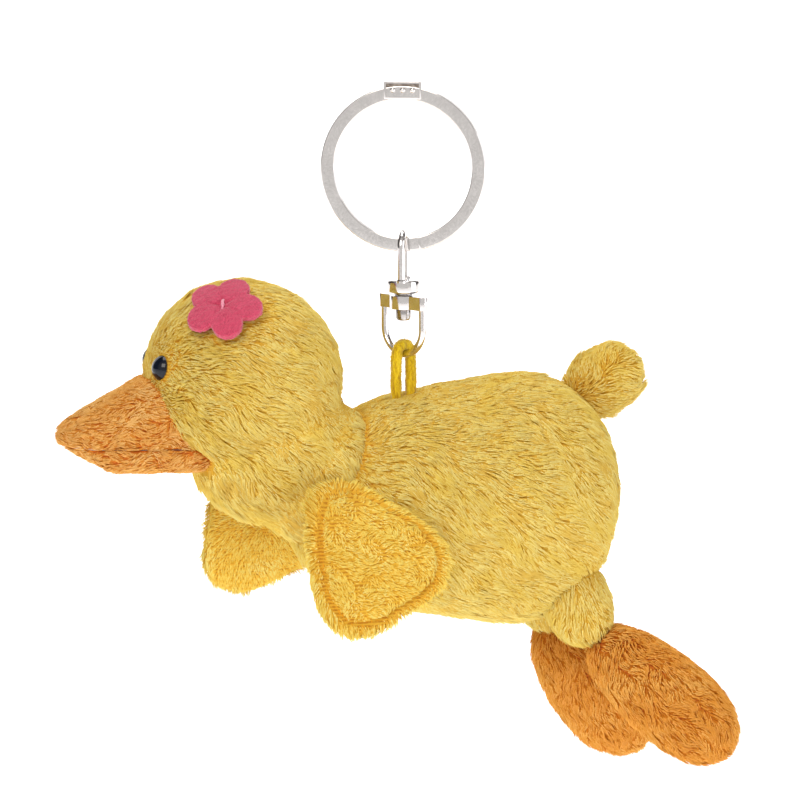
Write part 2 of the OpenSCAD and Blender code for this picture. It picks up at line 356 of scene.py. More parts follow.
def ripples(points: Array, wavelength: float, seed: int, count: int = 7) -> Array:
    """Smooth random values over space, as a sum of waves in random directions.

    Args:
        points: the places, in metres.
        wavelength: the typical distance between crests, in metres.
        seed: the seed of the random directions.
        count: the number of waves.

    Returns:
        One value for each point, mostly between -1 and 1.
    """
    rng = np.random.default_rng(seed)
    headings = unit(rng.normal(size=(count, 3)))
    lengths = wavelength * rng.uniform(0.7, 1.5, count)
    phases = rng.uniform(0, 2 * math.pi, count)
    waves = np.sin(2 * math.pi * (points @ headings.T) / lengths + phases)
    return waves.sum(axis=1) / math.sqrt(count / 2) * 0.7


def shade(piece: bpy.types.Object, edge: float) -> None:
    """Smooth a piece's shading up to its sharp edges.

    Args:
        piece: the mesh object.
        edge: the least angle between faces that stays a sharp edge, in degrees.
    """
    pick(piece)
    bpy.ops.object.shade_smooth_by_angle(angle=math.radians(edge))
    if edge < FLAT_BELOW:
        modify(piece, "WEIGHTED_NORMAL", weight=100, keep_sharp=True)


def declare(piece: bpy.types.Object, body: str) -> None:
    """Put a finished piece on the body that it rides on, and log its faces."""
    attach(piece, body)
    LOG.info("%s: %d faces on %s", piece.name, len(piece.data.polygons), body)


def dress(
    piece: bpy.types.Object, material: bpy.types.Material, body: str,
    stands_for: Sequence[str], edge: float,
) -> None:
    """Give a finished piece its material, its shading and its body.

    Args:
        piece: the mesh object.
        material: its material.
        body: the body that it rides on.
        stands_for: the CAD nodes that it replaces.
        edge: the least angle between faces that stays a sharp edge, in degrees.
    """
    piece.data.materials.clear()
    piece.data.materials.append(material)
    shade(piece, edge)
    declare(piece, body)
    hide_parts(*stands_for)


# ---------------------------------------------------------------------------------------------
# Colour and node helpers
# ---------------------------------------------------------------------------------------------


def linear(code: str) -> tuple[float, float, float, float]:
    """Turn an sRGB hex colour into the linear colour that shaders take.

    Args:
        code: the colour as "#rrggbb".

    Returns:
        Linear red, green, blue and an alpha of 1.
    """
    parts = [int(code[i : i + 2], 16) / 255 for i in (1, 3, 5)]
    toned = [c / 12.92 if c <= 0.04045 else ((c + 0.055) / 1.055) ** 2.4 for c in parts]
    return (toned[0], toned[1], toned[2], 1.0)


def add_node(
    tree: bpy.types.NodeTree, kind: str, values: Optional[dict] = None,
    links: Optional[dict] = None, **settings: object,
) -> bpy.types.Node:
    """Add one node with its settings, socket values and incoming links.

    Args:
        tree: the node tree that gets the node.
        kind: the node's type name.
        values: default values by input name or number.
        links: output sockets by the input name or number that they feed.
        settings: the node's own properties.

    Returns:
        The new node.
    """
    node = tree.nodes.new(kind)
    for key, value in settings.items():
        setattr(node, key, value)
    for key, value in (values or {}).items():
        node.inputs[key].default_value = value
    for key, socket in (links or {}).items():
        tree.links.new(socket, node.inputs[key])
    return node


def set_ramp(node: bpy.types.Node, stops: Sequence[tuple[float, str]]) -> None:
    """Give a colour ramp node its stops.

    Args:
        node: the colour ramp node.
        stops: position and hex colour of each stop, in order.
    """
    elements = node.color_ramp.elements
    while len(elements) < len(stops):
        elements.new(1.0)
    for element, (position, code) in zip(elements, stops):
        element.position = position
        element.color = linear(code)


def new_material(name: str, **sockets: object) -> tuple[bpy.types.Material, bpy.types.Node]:
    """Make a material with a principled shader whose plain sockets are set.

    Args:
        name: the material's name.
        sockets: values by socket name, with underscores for spaces.

    Returns:
        The material and its shader node.
    """
    material = bpy.data.materials.new(name)
    material.use_nodes = True
    shader = material.node_tree.nodes["Principled BSDF"]
    for key, value in sockets.items():
        shader.inputs[key.replace("_", " ")].default_value = value
    return material, shader


def patterned(
    name: str, **sockets: object
) -> tuple[bpy.types.Material, bpy.types.Node, bpy.types.NodeTree, bpy.types.NodeSocket]:
    """Make a material whose patterns read object coordinates.

    Args:
        name: the material's name.
        sockets: values by socket name, with underscores for spaces.

    Returns:
        The material, its shader node, its node tree and the socket of the coordinates.
    """
    material, shader = new_material(name, **sockets)
    tree = material.node_tree
    return material, shader, tree, add_node(tree, "ShaderNodeTexCoord").outputs["Object"]


# ---------------------------------------------------------------------------------------------
# Finishes
# ---------------------------------------------------------------------------------------------


@dataclass(frozen=True)
class NickelPlate:
    """Nickel over steel wire, tumbled smooth: sharp reflections, with faint rub marks and dull patches."""

    name: str = "nickel_plate"
    colour: str = "#e8e4e2"
    worn: str = "#e2dedc"
    roughness: float = 0.08
    rub_spacing: float = 0.35 * MM
    patch_size: float = 2.4 * MM

    def build(self) -> bpy.types.Material:
        """Make the material."""
        material, shader, tree, place = patterned(self.name, Metallic=1.0)
        rub = add_node(
            tree, "ShaderNodeTexNoise",
            {"Scale": 1 / self.rub_spacing, "Detail": 4.0, "Roughness": 0.65}, {"Vector": place},
        )
        wear = add_node(
            tree, "ShaderNodeTexNoise", {"Scale": 1 / self.patch_size, "Detail": 2.0}, {"Vector": place}
        )
        tone = add_node(tree, "ShaderNodeValToRGB", links={0: wear.outputs[0]})
        set_ramp(tone, [(0.38, self.worn), (0.62, self.colour)])
        gloss = add_node(
            tree, "ShaderNodeMapRange",
            {"From Min": 0.35, "From Max": 0.75, "To Min": self.roughness, "To Max": 2.4 * self.roughness},
            {"Value": rub.outputs[0]},
        )
        tree.links.new(tone.outputs[0], shader.inputs["Base Color"])
        tree.links.new(gloss.outputs[0], shader.inputs["Roughness"])
        return material


@dataclass(frozen=True)
class CottonYarn:
    """Soft-spun cotton: dull, with fine fibres along it and painted shade darker in the hollows between its
    plies.
    """

    name: str = "cotton_yarn"
    light: str = "#ecd02a"
    middle: str = "#dcb816"
    dark: str = "#b48a08"
    fibre: float = 0.16 * MM
    ply: float = 0.55 * MM

    def build(self) -> bpy.types.Material:
        """Make the material."""
        material, shader, tree, place = patterned(
            self.name, Roughness=0.85, Sheen_Weight=0.35, Sheen_Roughness=0.5, Specular_IOR_Level=0.2
        )
        drawn = add_node(tree, "ShaderNodeMapping", {"Scale": (1, 1, 0.3)}, {"Vector": place})
        fibres = add_node(
            tree, "ShaderNodeTexNoise", {"Scale": 1 / self.fibre, "Detail": 3.0},
            {"Vector": drawn.outputs[0]},
        )
        plies = add_node(
            tree, "ShaderNodeTexNoise", {"Scale": 1 / self.ply, "Detail": 1.0},
            {"Vector": drawn.outputs[0]},
        )
        both = add_node(
            tree, "ShaderNodeMath", {}, {0: fibres.outputs[0], 1: plies.outputs[0]}, operation="ADD"
        )
        half = add_node(tree, "ShaderNodeMath", {1: 0.5}, {0: both.outputs[0]}, operation="MULTIPLY")
        # Low places, the hollows that the bump also makes, get the dark tone as painted shade.
        tone = add_node(tree, "ShaderNodeValToRGB", links={0: half.outputs[0]})
        set_ramp(tone, [(0.36, self.dark), (0.5, self.middle), (0.64, self.light)])
        bump = add_node(
            tree, "ShaderNodeBump", {"Strength": 0.5, "Distance": 0.08 * MM},
            {"Height": half.outputs[0]},
        )
        tree.links.new(tone.outputs[0], shader.inputs["Base Color"])
        tree.links.new(bump.outputs[0], shader.inputs["Normal"])
        return material


@dataclass(frozen=True)
class WoolFelt:
    """Pressed felt, 1 mm thick: matt, mottled by its matted fibres, paler where the surface is rubbed."""

    name: str = "wool_felt"
    light: str = "#d1496a"
    middle: str = "#c33859"
    dark: str = "#a32845"
    fibre: float = 0.22 * MM

    def build(self) -> bpy.types.Material:
        """Make the material."""
        material, shader, tree, place = patterned(
            self.name, Roughness=0.92, Sheen_Weight=0.4, Sheen_Roughness=0.6, Specular_IOR_Level=0.15
        )
        matted = add_node(
            tree, "ShaderNodeTexNoise",
            {"Scale": 1 / self.fibre, "Detail": 4.0, "Distortion": 1.5}, {"Vector": place},
        )
        tone = add_node(tree, "ShaderNodeValToRGB", links={0: matted.outputs[0]})
        set_ramp(tone, [(0.34, self.dark), (0.5, self.middle), (0.66, self.light)])
        bump = add_node(
            tree, "ShaderNodeBump", {"Strength": 0.7, "Distance": 0.06 * MM},
            {"Height": matted.outputs[0]},
        )
        tree.links.new(tone.outputs[0], shader.inputs["Base Color"])
        tree.links.new(bump.outputs[0], shader.inputs["Normal"])
        return material


@dataclass(frozen=True)
class KnitBacking:
    """Knitted polyester ground that the pile is rooted in: matt rows of fine loops, with painted shade
    darker in the gaps.
    """

    name: str
    light: str
    dark: str
    loop: float = 0.5 * MM

    def build(self) -> bpy.types.Material:
        """Make the material."""
        material, shader, tree, place = patterned(self.name, Roughness=0.9, Specular_IOR_Level=0.15)
        rows = add_node(
            tree, "ShaderNodeTexWave", {"Scale": 0.32 / self.loop, "Distortion": 2.0, "Detail": 1.0},
            {"Vector": place}, wave_type="BANDS", bands_direction="Z",
        )
        loops = add_node(
            tree, "ShaderNodeTexVoronoi", {"Scale": 1 / self.loop}, {"Vector": place}
        )
        mixed = add_node(
            tree, "ShaderNodeMath", {}, {0: rows.outputs[1], 1: loops.outputs[0]}, operation="MULTIPLY"
        )
        # Gaps between the loops get the dark tone as painted shade.
        tone = add_node(tree, "ShaderNodeValToRGB", links={0: mixed.outputs[0]})
        set_ramp(tone, [(0.0, self.light), (0.55, self.dark)])
        tree.links.new(tone.outputs[0], shader.inputs["Base Color"])
        return material


@dataclass(frozen=True)
class FibreFill:
    """Carded polyester wadding: bright, matt and cloudy, with loose fibres."""

    name: str = "polyester_wadding"
    light: str = "#faf8f2"
    dark: str = "#ded9cd"
    tuft: float = 1.6 * MM
    rough: float = 0.9

    def build(self) -> bpy.types.Material:
        """Make the material."""
        material, shader, tree, place = patterned(self.name, Roughness=self.rough, Specular_IOR_Level=0.2)
        cloud = add_node(
            tree, "ShaderNodeTexNoise",
            {"Scale": 1 / self.tuft, "Detail": 6.0, "Roughness": 0.7, "Distortion": 0.8},
            {"Vector": place},
        )
        tone = add_node(tree, "ShaderNodeValToRGB", links={0: cloud.outputs[0]})
        set_ramp(tone, [(0.35, self.dark), (0.65, self.light)])
        tree.links.new(tone.outputs[0], shader.inputs["Base Color"])
        return material


@dataclass(frozen=True)
class GlossyBead:
    """Moulded black acrylic, polished: deep and near black, with clouds of painted blue reflection and a
    hard glint.
    """

    name: str = "black_acrylic"
    colour: str = "#080a10"
    cast: str = "#121b2e"
    cloud: float = 1.5 * MM

    def build(self) -> bpy.types.Material:
        """Make the material."""
        material, shader, tree, place = patterned(
            self.name, Roughness=0.07, IOR=1.46, Specular_IOR_Level=0.4
        )
        # Clouds where the painted blue reflection mixes into the black.
        depth = add_node(
            tree, "ShaderNodeTexNoise", {"Scale": 1 / self.cloud, "Detail": 2.0}, {"Vector": place}
        )
        tone = add_node(tree, "ShaderNodeValToRGB", links={0: depth.outputs[0]})
        set_ramp(tone, [(0.35, self.colour), (0.75, self.cast)])
        tree.links.new(tone.outputs[0], shader.inputs["Base Color"])
        return material


@dataclass(frozen=True)
class PileYarn:
    """Brushed polyester pile. Its strands are solid, so each tone is plain and a strand takes several.

    The foot of a strand is painted deeper in colour, as painted shade for light that reaches it only through
    its neighbours, and its tip is painted paler, as a painted highlight for light that its cut ends scatter.
    Neighbours differ a little in tone.
    """

    name: str
    feet: tuple[str, ...]
    tips: tuple[str, ...]
    sheen: float = 0.25

    def build(self) -> list[bpy.types.Material]:
        """Make one material for each tone, those of the feet first."""
        made = []
        # Foot tones are painted shade and tip tones a painted highlight.
        for part, tones in (("foot", self.feet), ("tip", self.tips)):
            for number, tone in enumerate(tones):
                material, _ = new_material(
                    f"{self.name}_{part}_{number}", Base_Color=linear(tone), Roughness=0.8,
                    Sheen_Weight=self.sheen, Sheen_Roughness=0.5, Sheen_Tint=linear(tone),
                    Specular_IOR_Level=0.03,
                )
                made.append(material)
        return made


def made(build: Callable[[], object]) -> object:
    """Declare a field whose value a finish builds."""
    return field(default_factory=build)


@dataclass
class Finishes:
    """Every material of the duck, each made once."""

    nickel: bpy.types.Material = made(NickelPlate().build)
    # A darker, duller nickel, used on the badge's inset floor.
    nickel_dark: bpy.types.Material = made(
        NickelPlate("nickel_tarnished", "#a59a90", "#6d625a", 0.24, 0.3 * MM, 0.8 * MM).build
    )
    steel: bpy.types.Material = made(NickelPlate("rivet_steel", "#cac6c4", "#9d9794", 0.14).build)
    cotton: bpy.types.Material = made(CottonYarn().build)
    felt: bpy.types.Material = made(WoolFelt().build)
    thread: bpy.types.Material = made(
        CottonYarn("polyester_thread", "#f0b4c0", "#e58fa4", "#c25a76", 0.08 * MM, 0.3 * MM).build
    )
    backing_yellow: bpy.types.Material = made(KnitBacking("knit_backing_yellow", "#dbab37", "#b97b20").build)
    backing_orange: bpy.types.Material = made(KnitBacking("knit_backing_orange", "#cf7228", "#a34e18").build)
    wadding: bpy.types.Material = made(FibreFill().build)
    calico: bpy.types.Material = made(FibreFill("calico_pouch", "#e2dccb", "#c3bba6", 0.5 * MM).build)
    nylon: bpy.types.Material = made(FibreFill("moulded_nylon", "#efece4", "#dcd7cb", 3 * MM, 0.45).build)
    bead: bpy.types.Material = made(GlossyBead().build)
    # Each pile yarn lists darker foot tones, which are painted shade, then paler tip tones, a painted
    # highlight.
    cotton_fibre: list[bpy.types.Material] = made(PileYarn("cotton_fibre", ("#cfa812",), ("#ecd02a",)).build)
    felt_fibre: list[bpy.types.Material] = made(PileYarn("felt_fibre", ("#af304f",), ("#d1496a",)).build)
    yellow: list[bpy.types.Material] = made(PileYarn(
        "plush_yellow", ("#d6a63b", "#d9ac44", "#d9a83d", "#dbb24d"),
        ("#e2c35b", "#e4ca6c", "#e6d27c", "#e0bc57"),
    ).build)
    # The wing's first foot and tip tones are deeper orange, painted shade for the stitched groove.
    wing: list[bpy.types.Material] = made(PileYarn(
        "plush_wing", ("#d68f1f", "#e4af3a", "#e5b543", "#e8bb49", "#e4b13e"),
        ("#e4a32d", "#ebcb5c", "#ecd46b", "#e9c558", "#edda79"),
    ).build)
    orange: list[bpy.types.Material] = made(PileYarn(
        "plush_orange", ("#c3701f", "#c87624", "#ce7c28", "#c57321"),
        ("#db963e", "#e19e4a", "#d8923a", "#e5aa55"),
    ).build)
    bill: list[bpy.types.Material] = made(PileYarn(
        "plush_bill", ("#cd7d2e", "#d28535", "#d88c39", "#ce8130"),
        ("#e0a455", "#e6ac60", "#dda051", "#eab86e"),
    ).build)


# ---------------------------------------------------------------------------------------------
# Soft forms and pile
# ---------------------------------------------------------------------------------------------

GROWN = 20.0
PRESSURE = 4.0
LAST_FRAME = 20

# A blade has three points at its root, three at its knee and one at its tip.
BLADE_POINTS = 7
BLADE = np.array([
    (0, 1, 2),
    (0, 3, 4), (0, 4, 1), (1, 4, 5), (1, 5, 2), (2, 5, 3), (2, 3, 0),
    (3, 6, 4), (4, 6, 5), (5, 6, 3),
])
TIP_FACES = slice(7, None)


@dataclass(frozen=True)
class Egg:
    """A soft form that is round about its own Z axis, with its place. Sizes are in metres."""

    length: float
    radius: float
    place: Matrix
    swell: float = 0.0
    power: float = 2.0

    def outline(self, steps: int = 28) -> list[tuple[float, float]]:
        """List radius and height from one end to the other.

        Args:
            steps: number of steps in the half outline.

        Returns:
            The profile's points.
        """
        points = []
        for step in range(steps + 1):
            angle = math.pi * step / steps
            share = math.copysign(abs(math.cos(angle)) ** (2 / self.power), math.cos(angle))
            width = math.sin(angle) ** (2 / self.power) if 0 < step < steps else 0.0
            points.append((self.radius * width * (1 + self.swell * share), self.length * share))
        return points

    def holds(self, points: Array, margin: float = 0.0) -> Array:
        """Say which points lie inside the form.

        Args:
            points: the places to test.
            margin: how far outside the form still counts, in metres.

        Returns:
            True for each point inside.
        """
        local = carried(points, self.place.inverted())
        share = np.clip(local[:, 2] / (self.length + margin), -1, 1)
        cosine = np.abs(share) ** (self.power / 2)
        width = np.sqrt(np.clip(1 - cosine**2, 0, 1)) ** (2 / self.power)
        limit = (self.radius * (1 + self.swell * share) + margin) * width
        return np.hypot(local[:, 0], local[:, 1]) < limit

    def skin(self, name: str) -> bpy.types.Object:
        """Make the form's surface."""
        return settle(spun(name, self.outline(), 56), self.place)


def seam_across(axis: int, level: float, half: float) -> Measure:
    """Hold the points near a plane, as a seam does.

    Args:
        axis: 1 for a plane across Y, 2 for one across Z.
        level: where the plane lies on that axis, in metres.
        half: half the width that is held, in metres.

    Returns:
        A function that gives True for each point held.
    """
    return lambda points: np.abs(points[:, axis] - level) < half


def everywhere(points: Array) -> Array:
    """Keep every root."""
    return np.ones(len(points), dtype=bool)


def combed(*direction: float) -> Flow:
    """Lay the pile all one way."""
    return lambda points, normals: np.tile(direction, (len(points), 1))


def quarters() -> Iterator[tuple[Side, bool, str]]:
    """List the four piles of a large form: side, whether at the rear, and the name for both."""
    for side, rear in product(Side, (False, True)):
        yield side, rear, f"{side.word}_{'rear' if rear else 'front'}"


def holds_ball(points: Array, centre: Vector, radius: float) -> Array:
    """Say which points lie inside a ball."""
    return np.linalg.norm(points - np.array(centre), axis=1) < radius


def remesh(piece: bpy.types.Object, voxel: float, rounds: int) -> None:
    """Turn a piece into one even skin and smooth its joins.

    Args:
        piece: the mesh object.
        voxel: the size of the new faces, in metres.
        rounds: rounds of smoothing.
    """
    modify(piece, "REMESH", mode="VOXEL", voxel_size=voxel, use_smooth_shade=True)
    smooth(piece, rounds)


def stuff(piece: bpy.types.Object, seam: Measure, limit: float) -> None:
    """Blow a skin up by cloth simulation, so that it crowns between its seams.

    The run is made at GROWN times the size, because cloth settings suit things a metre wide.

    Args:
        piece: the skin, an even closed mesh.
        seam: gives each point's hold, from 0 when free to 1 on a seam.
        limit: how far a point may move, in metres.
    """
    rest = places_of(piece)
    pick(piece)
    bpy.ops.object.duplicate()
    trial = bpy.context.active_object
    trial.data.transform(Matrix.Scale(GROWN, 4))
    held = trial.vertex_groups.new(name="seam")
    for index in np.nonzero(seam(rest) > 0.5)[0]:
        held.add([int(index)], 1.0, "REPLACE")
    cloth = trial.modifiers.new("Cloth", "CLOTH")
    cloth.settings.quality = 5
    cloth.settings.vertex_group_mass = "seam"
    cloth.settings.use_pressure = True
    cloth.settings.uniform_pressure_force = PRESSURE
    cloth.settings.effector_weights.gravity = 0
    cloth.collision_settings.use_collision = False
    cloth.point_cache.frame_start = 1
    cloth.point_cache.frame_end = LAST_FRAME
    for frame in range(1, LAST_FRAME + 1):
        bpy.context.scene.frame_set(frame)
    pick(trial)
    bpy.ops.object.modifier_apply(modifier=cloth.name)
    move = places_of(trial) / GROWN - rest
    bpy.data.objects.remove(trial)
    bpy.context.scene.frame_set(1)
    far = np.linalg.norm(move, axis=1, keepdims=True)
    move *= np.minimum(1.0, limit / np.maximum(far, 1e-9))
    move_points(piece, rest + move)
    smooth(piece, 2)


def scattered(skin: bpy.types.Object, per_mm2: float, rng: np.random.Generator) -> tuple[Array, Array]:
    """Spread points evenly at random over a skin.

    Args:
        skin: the mesh object.
        per_mm2: points for each square millimetre.
        rng: the random source.

    Returns:
        The points and their normals.
    """
    mesh = skin.data
    mesh.calc_loop_triangles()
    corners = np.empty(len(mesh.loop_triangles) * 3, dtype=np.int32)
    mesh.loop_triangles.foreach_get("vertices", corners)
    corners = corners.reshape(-1, 3)
    places, facings = places_of(skin), facings_of(skin)
    a, b, c = places[corners[:, 0]], places[corners[:, 1]], places[corners[:, 2]]
    areas = 0.5 * np.linalg.norm(np.cross(b - a, c - a), axis=1)
    count = int(areas.sum() / MM**2 * per_mm2)
    steps = (np.arange(count) + rng.uniform(0, 1, count)) / count
    chosen = np.searchsorted(np.cumsum(areas) / areas.sum(), steps).clip(0, len(areas) - 1)
    across = np.sqrt(rng.uniform(0, 1, (count, 1)))
    along = rng.uniform(0, 1, (count, 1))
    weights = np.concatenate([1 - across, across * (1 - along), across * along], axis=1)
    corner = corners[chosen]
    points = np.einsum("nk,nkd->nd", weights, places[corner])
    normals = unit(np.einsum("nk,nkd->nd", weights, facings[corner]))
    return points, normals


@dataclass
class Pile:
    """Pile grown on a skin. Each tuft is a closed three-sided blade of a few fibres that cling together.

    Tens of thousands of blades can't be placed by hand tools, so their points are worked out at once.
    Lengths are in millimetres.
    """

    name: str
    yarn: list[bpy.types.Material]
    flow: Flow
    keep: Measure
    seed: int
    per_mm2: float = 12.0
    length: float = 2.4
    width: float = 0.115
    lay: float = 0.8
    waver: float = 0.36
    wave: float = 7.0
    droop: float = 0.06
    cling: float = 0.5
    tuft_area: float = 1.1
    roundness: float = 0.3
    trim: Optional[Measure] = None
    # Roots whose blades take the first, deepest tones, as painted shade in a crease.
    accent: Optional[Measure] = None
    unevenness: float = 0.16
    patch: float = 3.2
    depth: float = 0.12
    least_facing: float = 0.15

    def grow(self, skin: bpy.types.Object) -> bpy.types.Object:
        """Grow the pile.

        Args:
            skin: the mesh object that the pile is rooted in.

        Returns:
            The pile as one mesh object.
        """
        rng = np.random.default_rng(self.seed)
        points, normals = scattered(skin, self.per_mm2, rng)
        kept = self.keep(points)
        points, normals = points[kept], normals[kept]
        heading = self.headings(points, normals, rng)
        length = self.length * MM * (1 + self.unevenness * ripples(points, self.patch * MM, self.seed + 1))
        length *= rng.uniform(0.82, 1.18, len(points))
        if self.trim is not None:
            length *= self.trim(points)
        length = length[:, None]
        root = points - normals * self.depth * MM
        knee = root + length * 0.5 * unit(normals * (1.25 - self.lay) + heading * self.lay)
        tip = knee + length * 0.55 * unit(normals * 0.6 * (1 - self.lay) + heading)
        tip[:, 2] -= self.droop * length[:, 0]
        knee, tip = self.clung(root, knee, tip, rng)
        return self.blades(root, knee, tip, normals, rng)

    def headings(self, points: Array, normals: Array, rng: np.random.Generator) -> Array:
        """Work out which way each tuft lies along the skin."""
        flow = self.flow(points, normals)
        along = unit(flow - (flow * normals).sum(axis=1, keepdims=True) * normals)
        across = np.cross(normals, along)
        angle = self.waver * ripples(points, self.wave * MM, self.seed + 2)
        angle += 0.35 * self.waver * ripples(points, 0.35 * self.wave * MM, self.seed + 3)
        angle += rng.normal(0, 0.12 + 0.1 * self.waver, len(points))
        return along * np.cos(angle)[:, None] + across * np.sin(angle)[:, None]

    def clung(
        self, root: Array, knee: Array, tip: Array, rng: np.random.Generator
    ) -> tuple[Array, Array]:
        """Pull the tips of neighbours together into locks."""
        count = max(1, int(len(root) / self.per_mm2 / self.tuft_area))
        leaders = rng.choice(len(root), min(count, len(root)), replace=False)
        tree = KDTree(len(leaders))
        for number, leader in enumerate(leaders):
            tree.insert(root[leader], number)
        tree.balance()
        nearest = np.array([leaders[tree.find(place)[1]] for place in root])
        pull = self.cling * rng.uniform(0.5, 1.0, (len(root), 1))
        knee = knee + 0.3 * pull * (knee[nearest] - knee)
        tip = tip + pull * (tip[nearest] - tip) + 0.06 * MM * rng.normal(size=tip.shape)
        return knee, tip

    def blades(
        self, root: Array, knee: Array, tip: Array, normals: Array, rng: np.random.Generator
    ) -> bpy.types.Object:
        """Build the blades, choose their tones and round their shading."""
        count = len(root)
        along = unit(tip - root)
        side = unit(np.cross(along, normals))
        up = np.cross(side, along)
        width = self.width * MM * rng.uniform(0.75, 1.25, (count, 1))
        places = np.empty((count, BLADE_POINTS, 3))
        shading = np.empty((count, BLADE_POINTS, 3))
        for corner, angle in enumerate((0.5 * math.pi, 7 / 6 * math.pi, 11 / 6 * math.pi)):
            out = side * math.cos(angle) + up * (0.7 * math.sin(angle))
            places[:, corner] = root + width * out
            places[:, corner + 3] = knee + 0.85 * width * out
            shading[:, corner] = shading[:, corner + 3] = unit(self.roundness * out + normals)
        places[:, 6] = tip
        shading[:, 6] = normals
        corners = shading[:, BLADE]
        corners[:, TIP_FACES, 1] = unit(corners[:, TIP_FACES, 0] + corners[:, TIP_FACES, 2])
        flat = places[:, BLADE]
        facing = unit(np.cross(flat[:, :, 1] - flat[:, :, 0], flat[:, :, 2] - flat[:, :, 0]))
        facing = facing[:, :, None, :]
        short = np.clip(self.least_facing - (corners * facing).sum(axis=3, keepdims=True), 0, None)
        corners = unit(corners + 1.2 * short * facing)
        faces = (np.arange(count)[:, None, None] * BLADE_POINTS + BLADE[None]).reshape(-1, 3)
        piece = mesh_piece(self.name, places.reshape(-1, 3), faces)
        for material in self.yarn:
            piece.data.materials.append(material)
        tones = len(self.yarn) // 2
        drift = 0.5 + 0.32 * ripples(root, 6 * MM, self.seed + 4) + rng.normal(0, 0.22, count)
        tone = np.clip((drift * tones).astype(int), 0, tones - 1)
        # Roots in a crease take the deepest tones as painted shade, and the rest keep off them.
        if self.accent is not None:
            tone = np.where(self.accent(root), 0, np.maximum(tone, 1))
        # Tip faces take the paler tip tones, a painted highlight; the other faces take foot tones, painted
        # shade.
        slots = np.repeat(tone[:, None], len(BLADE), axis=1)
        slots[:, TIP_FACES] += tones
        piece.data.polygons.foreach_set("material_index", slots.ravel().astype(np.int32))
        piece.data.shade_smooth()
        piece.data.normals_split_custom_set(corners.reshape(-1, 3))
        piece.data.update()
        return piece


def finish_skin(
    piece: bpy.types.Object, material: bpy.types.Material, body: str,
    stands_for: Sequence[str],
) -> None:
    """Dress a stuffed skin, shaded smooth all over."""
    dress(piece, material, body, stands_for, edge=180.0)


# ---------------------------------------------------------------------------------------------
# Places that the frame gives
# ---------------------------------------------------------------------------------------------


@dataclass(frozen=True)
class Places:
    """Centres and joints that several sub-assemblies share, in metres."""

    torso: Egg
    skull: Vector
    skull_radius: float
    throat: Vector
    throat_radius: float
    neck: Vector
    neck_radius: float
    joints: dict[str, Vector]
    head_turn: float = -10.0

    @property
    def head_pose(self) -> Matrix:
        """Give the turn about the neck at which the finished head is sewn on."""
        return turned(self.neck, ("Z", self.head_turn)) @ Matrix.Translation(-self.neck)

    @classmethod
    def read(cls, frame: dict) -> "Places":
        """Work the places out from the frame.


        Returns:
            The places.
        """
        joints = {joint["name"]: Vector(joint["pos_m"]) for joint in frame["joints"]}
        low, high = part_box("torso_left_panel")
        middle = Vector(((low.x + high.x) / 2, 0.0, (low.z + high.z) / 2))
        neck = joints["head_nod"]
        return cls(
            torso=Egg((high.x - low.x) / 2, 17 * MM, turned(middle, ("Y", 90)), swell=0.15, power=2.6),
            skull=neck + Vector((-10.2, 0.0, 13.6)) * MM, skull_radius=14.4 * MM,
            throat=neck + Vector((-6.2, 0.0, 4.4)) * MM, throat_radius=12 * MM,
            neck=neck, neck_radius=10.5 * MM, joints=joints,
        )

    def in_head(self, points: Array, margin: float = 0.0) -> Array:
        """Say which points lie inside the head while it still faces straight ahead."""
        return (
            holds_ball(points, self.skull, self.skull_radius + margin)
            | holds_ball(points, self.throat, self.throat_radius + margin)
            | holds_ball(points, self.neck, self.neck_radius + margin)
        )


# ---------------------------------------------------------------------------------------------
# Key ring and swivel
# ---------------------------------------------------------------------------------------------


